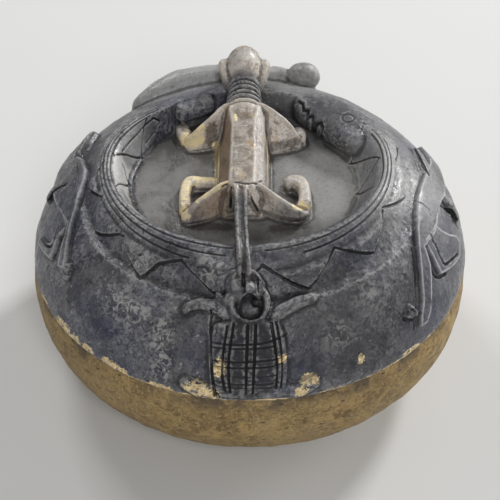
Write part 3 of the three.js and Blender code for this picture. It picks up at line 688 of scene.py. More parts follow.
def facets(points, spacing, seed):
    """Marks of a small blade: for each point, how far its scoop's middle is, its tilt and its shade"""
    generator = np.random.default_rng(seed)
    area = len(points) * LID_VOXEL ** 2
    chosen = generator.choice(len(points), int(area / spacing ** 2), replace=False)
    tree = KDTree(len(chosen))
    for number, index in enumerate(chosen):
        tree.insert(points[index], number)
    tree.balance()
    found = [tree.find(point) for point in points]
    owner = np.array([hit[1] for hit in found])
    reach = np.array([hit[2] for hit in found])
    lean = generator.normal(0, 1, (len(chosen), 3))
    tilt = ((points - points[chosen][owner]) * lean[owner]).sum(-1)
    shade = generator.random(len(chosen))[owner]
    return reach, tilt, shade


def meridian_length(height):
    """Length along the dome from its lower edge up to a height"""
    stops = np.linspace(0, 110, 200)
    rise, out = np.diff(stops), np.diff(dome_radius(stops))
    return np.interp(height, stops, np.concatenate([[0], np.cumsum(np.hypot(rise, out))]))


MAP_RADIUS = 175


def flat_map(azimuth, height):
    """Places on the dome's side laid out flat, in millimetres"""
    return np.stack([np.radians(azimuth) * MAP_RADIUS, meridian_length(height)], -1)


def depth_inside(places, corners):
    """Distance from each flat place to a polygon's border, positive inside it"""
    corners = flat_map(*np.asarray(corners, float).T)
    low, high = corners.min(0) - BORDER_REACH, corners.max(0) + BORDER_REACH
    near = np.all((places >= low) & (places <= high), axis=1)
    close = places[near]
    distance = np.full(len(close), FAR)
    inside = np.zeros(len(close), bool)
    for a, b in zip(corners, np.roll(corners, -1, 0)):
        distance = np.minimum(distance, segment_distances(close, a, b))
        if a[1] != b[1]:
            crosses = (a[1] > close[:, 1]) != (b[1] > close[:, 1])
            inside ^= crosses & (close[:, 0] < a[0] + (close[:, 1] - a[1]) * (b - a)[0] / (b - a)[1])
    depth = np.full(len(places), -FAR)
    depth[near] = np.where(inside, distance, -distance)
    return depth


def wobble(points, size, seed):
    """Smooth noise from -1 to 1"""
    offset = Vector((seed * 17.3, seed * 5.1, seed * 9.7))
    return np.array([noise.noise(Vector(point) / size + offset) for point in points])


# Grooves on the dome and the shell, in azimuth and height, with their half width and depth

SHELL_GROOVES = [
    ([[-5.9, 58], [-6.5, 40], [-6.4, 24], [-5.7, 12]], 1.25, 3.2),
    ([[-4.2, 60], [-5.0, 40], [-4.9, 24], [-4.5, 11]], 1.25, 3.2),
    ([[-0.5, 59], [-0.7, 40], [-0.8, 24], [-0.9, 10]], 1.25, 3.2),
    ([[1.6, 59], [1.2, 40], [0.9, 24], [0.7, 10]], 1.25, 3.2),
    ([[5.9, 60], [6.5, 40], [6.5, 26], [6.1, 15]], 1.25, 3.2),
    ([[7.3, 60], [7.9, 40], [7.7, 26], [7.3, 15]], 1.2, 3.0),
    ([[-9.5, 47.5], [-4, 47], [3, 48], [6.5, 50], [9.8, 52]], 1.1, 1.3),
    ([[-9.5, 44.5], [-4, 44.5], [3, 45], [6.5, 46]], 1.0, 1.0),
    ([[-9.3, 36], [-4, 35.5], [3, 36.5], [7, 37.5], [9.8, 40]], 1.1, 1.3),
    ([[-9.3, 32], [-4, 31.5], [3, 32], [7, 33.5], [9.5, 36]], 1.1, 1.3),
    ([[-4.5, 25], [1, 25], [6.5, 26]], 0.9, 0.7),
    ([[-8.8, 21], [-4, 19], [3, 19], [6.8, 20]], 1.0, 1.1),
    ([[-8.6, 17], [-4, 15.5], [3, 15.5], [6.8, 16.5]], 1.0, 1.1),
    ([[-10.3, 56], [-9.6, 40], [-8.9, 25], [-8.2, 12], [-8.0, 2]], 1.4, 3.5),
    ([[-1.9, 85], [-1.8, 76.5]], 1.7, 3.5), ([[2.5, 83], [2.7, 77]], 1.2, 2.5),
    ([[-7.9, 9], [-7.2, 4], [-6.6, 0]], 2.4, 3.5),
]
LIZARD_GROOVES = [
    ([[93.1, 69.4], [96.7, 71.5], [101.8, 72.3], [106.3, 72.1]], 1.2, 2.2),
    ([[85.7, 57.4], [86.6, 45], [86, 36], [85.9, 28]], 1.4, 3),
    ([[85.7, 57.6], [77.8, 62.5], [72.2, 62.4], [68.8, 61.6]], 0.8, 1.1),
    ([[67.8, 61.7], [66.3, 52.4], [65.2, 41.1], [69.2, 36], [73.2, 31.8]], 1.5, 3.5),
    ([[75.6, 77], [75.9, 68.5]], 0.8, 0.9),
    ([[62.7, 60], [61.6, 50], [60.9, 38.5], [65.6, 31.6]], 1.7, 2.6),
    ([[59.2, 66.5], [55.6, 57], [52.1, 46.5], [50, 37.5], [47.4, 29], [46, 20]], 1.5, 2.2),
    ([[43.8, 33], [44.6, 30], [46.8, 28.6], [48.8, 30]], 2, 2.6), ([[46, 37.4], [46.8, 34]], 1.6, 2.4),
    ([[-89.5, 67], [-91.5, 55], [-92, 41]], 1.6, 4),
    ([[-103, 71.5], [-109, 72.5], [-115, 71.5]], 1.0, 1.5),
    ([[-78, 62.5], [-74.5, 54], [-71.5, 45], [-74, 39], [-79, 33.5]], 1.3, 3),
    ([[-72.3, 63], [-69.5, 54], [-66, 45]], 1.2, 2.5),
    ([[-97, 74], [-88, 77.5], [-81, 74.5], [-75, 68], [-70, 60], [-66, 52]], 0.8, 0.8),
]

# Flat raised slabs with steep borders on the dome: corners in azimuth and height, and how proud

PLATES = [
    ([[92, 73], [88, 75.5], [84, 77.5], [78, 78.3], [70.5, 76], [65, 72], [60, 65], [56.5, 56.7], [53, 46],
      [51, 37], [48.5, 29], [47, 20], [50, 19], [52.5, 25.5], [55.7, 37.5], [60, 50], [62.5, 61], [70, 59],
      [78.5, 61], [85, 58], [92, 52], [100, 47], [108, 41], [115, 35], [119, 40], [112, 49], [104, 59],
      [98, 68]], 5.0),
    ([[64.2, 64], [63.2, 56.4], [62.4, 47.6], [61.8, 38.5], [66.3, 33.2], [71, 28.8], [74.5, 26.5], [79, 31],
      [79, 38], [76, 46], [74, 54], [73, 62]], 4.2),
    ([[-103.5, 65], [-103.3, 69.5], [-99, 76.7], [-91.3, 82], [-86, 81.4], [-80, 78], [-74.7, 73.8],
      [-70.7, 67], [-66.8, 60.4], [-62.8, 52], [-60.5, 45], [-63.5, 42], [-66, 49], [-69, 57], [-72, 64],
      [-80, 60], [-88, 54], [-96, 49], [-108, 43], [-118, 37], [-124, 43], [-117, 53], [-110, 61]], 5.0),
    ([[-71.5, 64], [-71.2, 51], [-69.2, 43.5], [-68.8, 37.5], [-74, 32.5], [-79, 28.5], [-80.5, 32.5],
      [-76, 37.5], [-72.8, 45], [-75.5, 54], [-79, 63]], 4.2),
]
CRACK = ([[-10.9, 66], [-10.6, 52], [-9.9, 38], [-9.2, 25], [-8.5, 12], [-8.2, 0]], 0.9, 2.5)

# Grooves round the basin, in azimuth and radius

OUTER_ZIGZAG = [
    [-90.2, 130.5], [-81, 144], [-71.3, 137], [-66.9, 144], [-62, 151.2], [-51.7, 141], [-49.3, 140.5],
    [-46.4, 145.2], [-41.2, 149.7], [-36, 157], [-34.6, 149], [-31.6, 143.1], [-28.2, 140.4], [-24.4, 138.1],
    [-17.3, 144.1], [-8.5, 153], [4.5, 135.5], [19, 150], [32, 134], [46, 146], [61.2, 131.5], [75.6, 141],
    [80.7, 137.3], [92, 131.9], [103, 139],
]
INNER_ZIGZAG_SHARES = [
    [[-124, 1], [-112, 0.05], [-96, 0.85]],
    [[-95, 0.95], [-94.8, 0.45], [-88.5, 0.1], [-73.5, 0.95]],
    [[-67, 0.95], [-66, 0.3], [-62, 0]],
    [[44, 0.8], [62, 0.05], [72, 0.85], [82, 0.05], [92, 0.95], [107, 0.05], [113.5, 0.95]],
]
RIDGE_LINES = [
    (0.36, -132, -6), (0.7, -132, -8), (0.5, 6, 112), (0.84, 20, 105), (0.12, -20, -7), (0.03, -126, -28),
    (0.98, -124, -20), (0.12, 30, 108),
]


def lid_height_at(azimuth, radius):
    radii, heights = lid_sections(np.array([[azimuth]]))
    return float(np.interp(radius, radii[0], heights[0]))


def on_top(azimuth, radius):
    point = around(np.float64(azimuth), radius, np.float64(lid_height_at(azimuth, radius)))
    fade = 1 - smoothstep(radius, BASIN_RADIUS, RIDGE_INNER)
    return point + [fade * BASIN_SHIFT[0], fade * BASIN_SHIFT[1], 0]


def straight(stops, step=3.0):
    """More stops along straight runs, so that a line follows the surface"""
    stops = np.asarray(stops, float)
    line = [stops[0]]
    for a, b in zip(stops[:-1], stops[1:]):
        count = max(int(abs(b[0] - a[0]) / step), int(np.abs(b - a).max() / 4), 1)
        line += [mix(a, b, k / count) for k in range(1, count + 1)]
    return line


# A long cut and a leaf beside it at the ridge's left end
LONG_CUT = [[-101, 117], [-108, 114.5], [-115, 112], [-122, 110.5], [-128, 109]]
LEAF_CUT = [[-128, 109], [-131.5, 106.5], [-127, 105.5], [-119, 105.5]]


def top_lines():
    """Grooves round the basin as 3-D lines, with half width and depth"""
    lines = [([on_top(*stop) for stop in straight(OUTER_ZIGZAG)], 1.5, 1.6)]
    for zigzag in INNER_ZIGZAG_SHARES:
        stops = [(turn, mix(BASIN_RADIUS, ridge_band(turn)[0], share)) for turn, share in straight(zigzag)]
        lines.append(([on_top(*stop) for stop in stops], 1.3, 1.6))
    for share, start, end in RIDGE_LINES:
        turns = np.arange(start, end + 0.1, 3.0)
        lines.append(([on_top(turn, mix(*ridge_band(turn)[:2], share)) for turn in turns], 1.2, 1.3))
    lines.append(([on_top(*stop) for stop in LONG_CUT], 1.5, 2.5))
    lines.append(([on_top(*stop) for stop in LEAF_CUT], 1.3, 2))
    return lines


# The large head's mouth and eye, as places in plan. Each cut is its half width and depth.

MOUTH = [
    [46, 91, 0], [50, 86, 0], [50.5, 79.5, 0], [55, 77, 0], [54, 72, 0], [59, 70, 0], [58.6, 65, 0],
    [61, 61.5, 0], [66, 61, 0], [67.5, 56, 0],
]
MOUTH_CUT = (1.9, 3)
EYE = (91.5, 61.8)
EYE_RADIUS = 5.6
EYE_CUT = (1.3, 1.2)

# Cuts on the animal in the basin, over its rump and beside its tail, with half width and depth

FIGURE_CUTS = [
    ([[-24, -41, 100], [-19, -39.5, 102], [-12, -41, 104.6], [-3, -42.6, 104.5], [5.6, -40.5, 102.8],
      [11, -31, 98.3]], 1.3, 1.6),
    ([[-16.2, -44.6, 101.6], [-16.2, -46.8, 93.2], [-17.1, -49.9, 83.3]], 2.2, 3),
    ([[-0.5, -45.7, 100.3], [2.1, -49.5, 92.1], [7.4, -50, 78.8]], 1.3, 1.6),
]

# The round hollow under the tortoise's head, in azimuth and height

HEAD_HOLLOW = (0.2, 68.8)
HEAD_HOLLOW_RADIUS = 10.5
HEAD_HOLLOW_DEPTH = 5.5


def hollow_distance(places):
    """How far flat places are from the middle of the hollow, in its radii"""
    return np.linalg.norm(places - flat_map(*HEAD_HOLLOW), axis=1) / HEAD_HOLLOW_RADIUS


def refine(mesh, near):
    """Halves the faces whose corners are marked"""
    work = bmesh.new()
    work.from_mesh(mesh)
    edges = [edge for edge in work.edges if near[edge.verts[0].index] and near[edge.verts[1].index]]
    bmesh.ops.subdivide_edges(work, edges=edges, cuts=1, use_grid_fill=True)
    work.to_mesh(mesh)
    work.free()


def eye_distance(points):
    """How far points are from the ring of the large head's eye, seen from above"""
    return np.abs(np.hypot(points[:, 0] - EYE[0], points[:, 1] - EYE[1]) - EYE_RADIUS)


# The lid's lower edge, up to this height, isn't carved
EDGE_HEIGHT = 1.2


def survey(mesh):
    """Where each vertex is: under the lid, on its lower edge or outside, and over which place of the dome"""
    points = coordinates(mesh)
    radius = np.hypot(points[:, 0], points[:, 1])
    under = (radius < hollow_radius(points[:, 2]) + 2) & (points[:, 2] < HOLLOW_RISE + 2)
    edge = points[:, 2] < EDGE_HEIGHT
    foot = dome_foot(points)
    return {
        "points": points, "outward": normals(mesh), "radius": radius, "azimuth": azimuth_of(points),
        "under": under, "edge": edge, "outside": ~under & ~edge, "foot": foot,
        "over": ((points - foot) * dome_normal(foot)).sum(-1),
        "places": flat_map(azimuth_of(foot), foot[:, 2]),
    }


def dome_lines():
    share = np.linspace(0, 1, 24)
    cuts = SHELL_GROOVES + LIZARD_GROOVES + [CRACK]
    return [([on_dome(*stop) for stop in smooth_path(stops, share)], *size) for stops, *size in cuts]


def near_carving(surface, round_basin, round_dome):
    """Marks the points close to a groove or to a slab's border"""
    points = surface["points"]
    lines = [(points, stops, half_width + REFINED) for stops, half_width, _ in round_basin + FIGURE_CUTS]
    lines += [(surface["foot"], stops, half_width + REFINED) for stops, half_width, _ in round_dome]
    lines.append((points * FLAT, MOUTH, 3))
    near = (neck_grooves(points) > 0) | (eye_distance(points) < 2.5)
    near |= np.abs(hollow_distance(surface["places"]) - 1) * HEAD_HOLLOW_RADIUS < 2.5
    for places, stops, reach in lines:
        near |= line_distance(places, stops) < reach
    for corners, _ in PLATES:
        near |= np.abs(depth_inside(surface["places"], corners)) < REFINED + 0.6
    return near & surface["outside"]


def figure_share(surface, solids):
    """1 on the animal in the basin, 0 away from it"""
    points, faces = together(solids)
    tree = BVHTree.FromPolygons(points.tolist(), faces)
    chosen = (surface["radius"] < 160) & (surface["points"][:, 2] > BASIN_HEIGHT + 0.6) & surface["outside"]
    share = np.zeros(len(chosen))
    away = np.array([tree.find_nearest(point)[3] for point in surface["points"][chosen]])
    share[chosen] = 1 - smoothstep(away, 1.2, 2.6)
    return share


# What lies lower belongs to the basin's floor
FLOOR_LIMIT = BASIN_HEIGHT + 4

# How far the wedges beside the zigzag stand above the hollow, and how far they go out, left and right
WEDGE_STEP = 3.3
WEDGE_BAND = (163, -97, 103)


def slabs(surface):
    """How far each point rises onto the slabs, and how near it is to a slab's border"""
    lift = np.zeros(len(surface["points"]))
    rail = np.zeros(len(lift))
    for corners, proud in PLATES:
        depth = depth_inside(surface["places"], corners)
        rail = np.maximum(rail, np.exp(-((depth - 1.2) / 0.9) ** 2))
        wanted = proud * smoothstep(depth, -0.6, 0.6)
        lift = np.maximum(lift, np.where(wanted > 0.05, wanted - np.maximum(surface["over"], 0), 0))
    return lift * surface["outside"], rail * surface["outside"]


def wedges(surface):
    """How far the wedges between the ridge and the zigzag stand above the hollow"""
    radius, azimuth = surface["radius"], surface["azimuth"]
    border = np.interp(azimuth, *np.array(OUTER_ZIGZAG).T)
    outer = ridge_band(azimuth)[1]
    limit, left, right = WEDGE_BAND
    in_band = (radius > outer + 1) & (radius < limit) & (azimuth > left) & (azimuth < right)
    in_band &= surface["outside"] & (surface["figure"] < 0.3) & (surface["over"] < 3)
    wedge = smoothstep(border - radius, -0.5, 0.9) * smoothstep(radius - outer, 2, 6)
    return np.where(in_band, WEDGE_STEP * wedge * from_front(azimuth, 85, 104), 0)


def along_groove(points, stops, half_width):
    """1 along the middle of a groove, falling to 0 at its border"""
    return np.clip(1 - line_distance(points, stops) / half_width, 0, 1)


def cuts(surface, round_basin, round_dome):
    """The depth of each groove or hollow, and how much painted shade darkens it"""
    points, outside, figure = surface["points"], surface["outside"], surface["figure"]
    for stops, half_width, depth in round_basin:
        share = along_groove(points, stops, half_width) * outside * (1 - figure)
        yield depth * share, np.clip(share * 1.3, 0, 1)
    for stops, half_width, depth in round_dome:
        share = along_groove(surface["foot"], stops, half_width) * (outside & (surface["over"] > -3))
        yield depth * share, np.clip(share * 1.5, 0, 1) * min(depth / 2.2, 1)
    for stops, half_width, depth in FIGURE_CUTS:
        share = along_groove(points, stops, half_width) * outside
        yield depth * share, np.clip(share * 1.4, 0, 1)
    raised = outside & (points[:, 2] > FLOOR_LIMIT)
    mouth = along_groove(points * FLAT, MOUTH, MOUTH_CUT[0]) * raised
    yield MOUTH_CUT[1] * mouth, np.clip(mouth * 1.5, 0, 1)
    eye = np.clip(1 - eye_distance(points) / EYE_CUT[0], 0, 1) * raised
    yield EYE_CUT[1] * eye, eye * 0.6
    rings = neck_grooves(points) * (figure > 0.5)
    yield NECK_CUT[1] * smoothstep(rings, 0, 1), smoothstep(rings, 0.2, 1) * 0.8
    cup = (1 - smoothstep(hollow_distance(surface["places"]), 0.7, 1.05)) * outside
    yield HEAD_HOLLOW_DEPTH * cup, 0.22 * cup


def scooped(reach, tilt, hollow, widest, sunk):
    """How far the adze left points in or out, deepest in the middle of each scoop"""
    return hollow * np.minimum(reach, widest) ** 2 + SCOOP_LEAN * tilt - sunk


def lid_scoops(surface, points):
    """How far the adze left each point in or out, and its facet's shade"""
    reach, tilt, shade = facets(points, LID_SCOOPS, SEED)
    strength = np.where(surface["under"], SCOOPED_UNDER, 1.0)
    strength *= np.where(surface["figure"] > 0.5, SCOOPED_FIGURE, 1)
    strength *= np.where(surface["edge"], 0, 1)
    strength *= np.where((surface["radius"] < BASIN_RADIUS) & surface["outside"], SCOOPED_FLOOR, 1)
    return scooped(reach, tilt, 0.008, 8, 0.15) * strength, shade


def carve_lid(lid, figure_solids):
    """Carves the lid's mesh, and returns what is known of each of its vertices"""
    mesh = lid.data
    mesh.shade_smooth()
    set_coordinates(mesh, averaged(coordinates(mesh), edge_ends(mesh)))
    lines = top_lines(), dome_lines()
    refine(mesh, near_carving(survey(mesh), *lines))
    surface = survey(mesh)
    surface["figure"] = figure_share(surface, figure_solids)
    lift, rail = slabs(surface)
    move = wedges(surface)
    crease = np.zeros(len(move))
    # Each cut also gives how much painted shade darkens it, kept as the crease mark
    for depth, groove_shade in cuts(surface, *lines):
        move -= depth
        crease = np.maximum(crease, groove_shade)
    points = surface["points"] + dome_normal(surface["foot"]) * lift[:, None]
    points += surface["outward"] * move[:, None]
    set_coordinates(mesh, points)
    outward = normals(mesh)
    scoop, shade = lid_scoops(surface, points)
    points += outward * scoop[:, None]
    points += outward * (wobble(points, 38, 1) * 0.7 * np.where(surface["edge"], 0, 1))[:, None]
    set_coordinates(mesh, points)
    ends = edge_ends(mesh)
    even = averaged(points, ends, 2)
    bend = ((even - averaged(even, ends, 10)) * outward).sum(-1)
    surface.update(points=points, crease=crease, facet=shade, bend=np.clip(0.5 + bend * 1.6, 0, 1), rail=rail)
    return surface


# Wear and stain, with painted highlights and painted shade. Each patch on the dome, the first ones of bare
# wood: azimuth, height, half width, half height

BARE_PATCHES = [
    [-12.6, 11, 13, 7], [-8.3, 6, 5, 7], [14.5, 17, 8, 5], [12.3, 9, 6, 5], [-7.2, 31, 5, 7],
    [8.2, 37, 5, 3], [28.4, 21, 3.5, 5], [-54, 5, 14, 5], [-48.8, 4, 9, 4.5], [-44, 4, 9, 4],
    [-36, 5, 10, 4.5], [-32.5, 3, 7, 3], [-66, 3, 10, 3], [-22, 2.5, 12, 2.5], [44, 4, 10, 2.5],
]
# Pale patches; the one at azimuth 80, on the dome's right side, is a painted highlight
PALE_PATCHES = [
    [-36, 52, 34, 11], [-24, 44, 12, 14], [24, 45, 14, 10], [-38, 78, 12, 8], [-22, 26, 9, 20],
    [38, 60, 18, 10], [80, 84, 40, 8], [-12, 90, 14, 8],
]
DUSKY_PATCHES = [[-0.4, 34, 29, 30]]
SHADED_PATCHES = [[30, 45, 75, 40], [45, 92, 60, 14], [150, 98, 45, 14], [66, 45, 50, 30]]
# Pale grey patches on the back animal; the last two, on the dome's right side, are painted highlights
ASHEN_AND_SHEEN_PATCHES = [
    [-158, 82, 70, 16], [159, 88, 32, 18], [176, 84, 40, 14], [77, 91, 36, 11], [86, 68, 44, 14],
]

# Lines on the animal in the basin along which the wood is rubbed bare, with how far it reaches
BARE_LINES = [
    ([[-46, 49, 98], [-56, 48, 88], [-60, 52, 80]], 8), ([[-31, 62, 74], [-30, 20, 74], [-30, -8, 74]], 5),
    ([[-57, -54, 80], [-58, -28, 80], [-57, -8, 79], [-32, -5, 78]], 7),
    ([[-13, 54, 107], [-12.5, 46, 107]], 1.9), ([[40, -54, 88], [52, -44, 82], [50, -10, 82]], 5),
    ([[-20, -40, 104], [-46, -50, 92]], 3),
    ([[15.5, 64, 84], [17.5, 10, 84], [17.5, -30, 84]], 2.2), ([[-46, 46, 84], [-56, 45, 80]], 6),
]

# Lines near the same animal along which painted shadow darkens the corners: under the thighs, in the hollows
# and on the arms' front faces
PAINTED_SHADOW_LINES = [
    ([[-35, 53, 93], [-33, 49, 77]], 8), ([[22, 46, 77], [43, 49, 80]], 6),
    ([[-42, -17, 71], [-36, -22, 71]], 8), ([[35, -16, 72], [40, -24, 72]], 8),
    ([[22, -64, 71], [48, -58, 71]], 8), ([[1, -50, 88], [8, -50, 78]], 4),
    ([[-46, -60, 71], [-20, -62, 71]], 7), ([[-17, -47, 95], [-17, -50, 80]], 5),
    ([[-58, 74, 71], [-30, 88, 71]], 12),
]


def patches(surface, rows, softness):
    """0 to 1 inside soft-edged patches on the dome"""
    foot = surface["foot"]
    foot_radius = np.hypot(foot[:, 0], foot[:, 1])
    covered = np.zeros(len(foot))
    for azimuth, height, half_width, half_height in rows:
        across = np.radians(azimuth_of(foot) - azimuth) * foot_radius / half_width
        along = (foot[:, 2] - height) / half_height
        covered = np.maximum(covered, 1 - smoothstep(np.hypot(across, along), 1 - softness, 1 + softness))
    return covered


def near_lines(points, rows, full, end):
    """0 to 1 close to lines, each given with how far it reaches"""
    near = [smoothstep(line_distance(points, line) / reach, full, end) for line, reach in rows]
    return 1 - np.minimum.reduce(near)


# Azimuths round which the ridge is rubbed most on the left and has a painted highlight on the right, the
# large head's middle in plan, round which shade is painted, and the Y behind which the pale grey patches are
# palest
WORN_LEFT = -85
SHEEN_RIGHT = 82
LARGE_HEAD = (72, 74)
BACK_WALL = 96


def stain_wear_and_light(surface):
    """Chalk-like, pale and darker parts of the stain, with painted highlights on the right side and painted
    shade
    """
    points, outside, radius, azimuth = (surface[key] for key in ("points", "outside", "radius", "azimuth"))
    from_left, from_right = azimuth - WORN_LEFT, azimuth - SHEEN_RIGHT
    above_floor = outside & (points[:, 2] > BASIN_HEIGHT + 3)
    top = smoothstep(radius, RIDGE_INNER - 3, RIDGE_INNER) * outside
    top = top * (1 - smoothstep(radius, RIDGE_OUTER + 4, RIDGE_OUTER + 8))
    # Pale grey patches on the back animal, and painted highlights on the dome's right side
    ashen_and_sheen = patches(surface, ASHEN_AND_SHEEN_PATCHES, 0.5) * outside * smoothstep(radius, 100, 104)
    left_part = np.maximum(from_front(from_left, 9, 17), 0.4 * from_front(from_left, 24, 42))
    wall = np.maximum(left_part, 0.3 * from_front(azimuth + WORN_LEFT, 15, 35))
    wall = wall * above_floor * (radius < RIDGE_INNER + 1)
    wall = np.maximum(wall, np.where(points[:, 1] > BACK_WALL, 0.6, 0.28) * ashen_and_sheen)
    # Painted highlight along the ridge's right part
    wall = np.maximum(wall, 0.45 * top * from_front(from_right, 14, 30))
    # The ridge is rubbed pale on the left; on the right it gets a painted highlight
    rubbed_and_sheen_ridge = np.maximum(from_front(from_left, 30, 55), 0.7 * from_front(from_right, 18, 40))
    from_head = np.hypot(points[:, 0] - LARGE_HEAD[0], points[:, 1] - LARGE_HEAD[1])
    # Darker: the shell's dark stain, with painted shade in the shaded patches, on the inner wall in front and
    # round the large head
    dusky_and_shade = np.maximum.reduce([
        patches(surface, DUSKY_PATCHES, 0.12), 0.54 * patches(surface, SHADED_PATCHES, 0.6),
        0.6 * above_floor * (radius < RIDGE_INNER - 3) * from_front(azimuth, 35, 62),
        0.65 * (1 - smoothstep(from_head, 20, 36)),
    ])
    return {
        "wall": wall, "pale": np.maximum(patches(surface, PALE_PATCHES, 0.8) * outside, top * rubbed_and_sheen_ridge),
        "dusky_and_shade": dusky_and_shade * outside * (1 - surface["figure"]),
    }


def figure_wear_and_light(surface):
    """Worn, stained and lit parts of the animal in the basin: a painted highlight on its right side, painted
    shade on its left, and faces turned to the front, lightened partly as rubbed wood and partly as painted
    light
    """
    figure, outward = surface["figure"], surface["outward"]
    x, y, z = surface["points"].T
    trunk = figure * (np.abs(y - 12) < 60) * (x > -31) * (x < 19)
    # Painted highlight on the side of the key lamp: the trunk's right chamfer, the right shin and the right
    # arm
    bright_edge = trunk * smoothstep(outward[:, 0], 0.3, 0.55) * smoothstep(z, 91, 97)
    right_shin = figure * smoothstep(x, 30, 36) * (y < 0) * (y > -56)
    right_arm = figure * smoothstep(x, 21, 26) * (y > 36) * (y < 76)
    # Painted shade on the side away from the key lamp: the trunk's left side and the left thigh
    left_side = trunk * smoothstep(-outward[:, 0], 0.3, 0.6) * smoothstep(z, 76, 80)
    left_thigh = figure * smoothstep(-x, 16, 22) * smoothstep(-y, 36, 42)
    neck = smoothstep(y, 72, 78) * (1 - smoothstep(y, 98, 106))
    # chamfer is painted highlight and flank painted shade; facing lightens the faces turned to the front,
    # partly as rubbed wood and partly as painted light
    return {
        "chamfer": np.maximum.reduce([bright_edge, 1.2 * right_shin, right_arm]),
        "flank": np.maximum(left_side, left_thigh), "facing": np.clip(-outward[:, 1] * 1.3, 0, 1) * figure,
        "dark": np.maximum(neck, smoothstep(-y, 48, 66)) * figure,
    }


# Writes the lid's marks of wear and stain, and of painted highlight, painted shade and painted shadow, as
# attributes
def mark_wear_and_light(lid, surface):
    points, figure, outside = surface["points"], surface["figure"], surface["outside"]
    basin = (surface["radius"] < BASIN_RADIUS + 2) & (points[:, 2] < FLOOR_LIMIT) & outside
    marks = {name: surface[name] for name in ("rail", "figure", "under", "crease", "facet", "bend")}
    marks |= stain_wear_and_light(surface) | figure_wear_and_light(surface)
    marks["rubbed"] = near_lines(points, BARE_LINES, 0.4, 1.3) * np.maximum(figure, basin)
    # Painted shadow along the shadow lines, on the animal and the basin's floor
    marks["painted_shadow"] = near_lines(points, PAINTED_SHADOW_LINES, 0.3, 1.25) * np.maximum(figure, basin)
    marks["bare"] = patches(surface, BARE_PATCHES, 0.45) * outside
    marks["rim"] = ~surface["under"] * (1 - smoothstep(points[:, 2], 0.5, 4))
    marks["basin"] = basin * (1 - figure)
    for name, values in marks.items():
        attribute(lid.data, name, values)


def set_within(mesh, points, box):
    """Sets the vertices, kept inside the box of their CAD node"""
    low, high = (np.array(corner) / MM for corner in box)
    set_coordinates(mesh, np.clip(points, low, high))


def make_lid():
    figure_solids = figure()
    solids = [lid_shell(), *tortoise(), *lizards(), *back_animal(), *ridge_heads(), *figure_solids]
    lid = object_from("carved_lid", *together(solids))
    fuse(lid, LID_VOXEL)
    mark_wear_and_light(lid, carve_lid(lid, figure_solids))
    set_within(lid.data, coordinates(lid.data) + [0, 0, LID_EDGE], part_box("lid"))
    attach(lid, "lid")
    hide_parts("lid")
    return lid


# The bowl

def belly(flat, widest, rise, floor, steps):
    angle = np.linspace(0, math.pi / 2, steps)
    out = np.sin(angle) ** (2 / BOWL_POWER)
    up = 1 - np.cos(angle) ** (2 / BOWL_POWER)
    return np.stack([mix(flat, widest, out), floor + rise * up], -1)


def cavity_profile(steps):
    rise = BOWL_HEIGHT - BULGE_DROP - BOWL_FLOOR
    return belly(BASE_RADIUS, BULGE_RADIUS - BOWL_WALL, rise, BOWL_FLOOR, steps)


def bowl_shell(turns=240):
    bulge_height = BOWL_HEIGHT - BULGE_DROP
    lip_inner, lip_outer, lip_rise = BOWL_LIP
    share = np.linspace(0, 1, 12)[1:]
    narrowing = (BULGE_RADIUS - SEAT_RADIUS) * share ** 2
    shoulder = np.stack([BULGE_RADIUS - narrowing, bulge_height + BULGE_DROP * share], -1)
    flat = np.linspace(0, BASE_RADIUS, 24)[1:-1]
    base = np.stack([flat, 0 * flat], -1)
    outside = belly(BASE_RADIUS, BULGE_RADIUS, bulge_height, 0, 60)
    lip_top = BOWL_HEIGHT + lip_rise
    lip = [[lip_outer, BOWL_HEIGHT], [lip_outer, lip_top], [lip_inner, lip_top], [lip_inner, BOWL_HEIGHT]]
    profile = np.concatenate([base, outside, shoulder, lip, cavity_profile(50)[::-1]])
    azimuth = np.linspace(0, 360, turns, endpoint=False)[:, None]
    rings = around(azimuth, profile[None, :, 0], profile[None, :, 1] + 0 * azimuth).transpose(1, 0, 2)
    return loft([0, 0, 0], rings, [0, 0, BOWL_FLOOR])


def hoop(loops):
    """A closed band of faces through loops of points, the last one joined to the first"""
    grid = np.arange(len(loops) * len(loops[0])).reshape(len(loops), -1)
    right, below = np.roll(grid, -1, 1), np.roll(grid, -1, 0)
    faces = np.stack([grid, right, np.roll(right, -1, 0), below], -1).reshape(-1, 4)
    return np.concatenate(loops), [tuple(face) for face in faces.tolist()]


def divider_wall(turn):
    """A wall from the well out into the bowl's side, its outer end following the cavity"""
    out, up = cavity_profile(30).T
    foot, near = BOWL_FLOOR - WALL_SUNK, WELL_RADIUS + DIVIDER_THICKNESS / 2
    heights = np.linspace(DIVIDER_TOP, BOWL_FLOOR + 1, 16)
    curve = np.stack([np.interp(heights, up, out) + WALL_SUNK, heights], -1)
    side = np.array([[near, foot], [near, DIVIDER_TOP], *curve, [BASE_RADIUS - 4, foot]])
    c, s = math.cos(turn), math.sin(turn)
    loops = []
    for offset in (-DIVIDER_THICKNESS / 2, DIVIDER_THICKNESS / 2):
        loops.append(np.stack([side[:, 0] * c - offset * s, side[:, 0] * s + offset * c, side[:, 1]], -1))
    count = len(side)
    faces = [tuple(range(count)), tuple(range(2 * count - 1, count - 1, -1))]
    for i in range(count):
        j = (i + 1) % count
        faces.append((j, i, count + i, count + j))
    return np.concatenate(loops), faces


def dividers():
    well_outer = WELL_RADIUS + DIVIDER_THICKNESS
    foot = BOWL_FLOOR - SUNK
    profile = [[WELL_RADIUS, foot], [well_outer, foot], [well_outer, DIVIDER_TOP], [WELL_RADIUS, DIVIDER_TOP]]
    azimuth = np.linspace(0, 360, 120, endpoint=False)
    well = hoop([around(azimuth, r, z) for r, z in profile])
    return [well, *(divider_wall(math.radians(45 + 90 * quarter)) for quarter in range(4))]


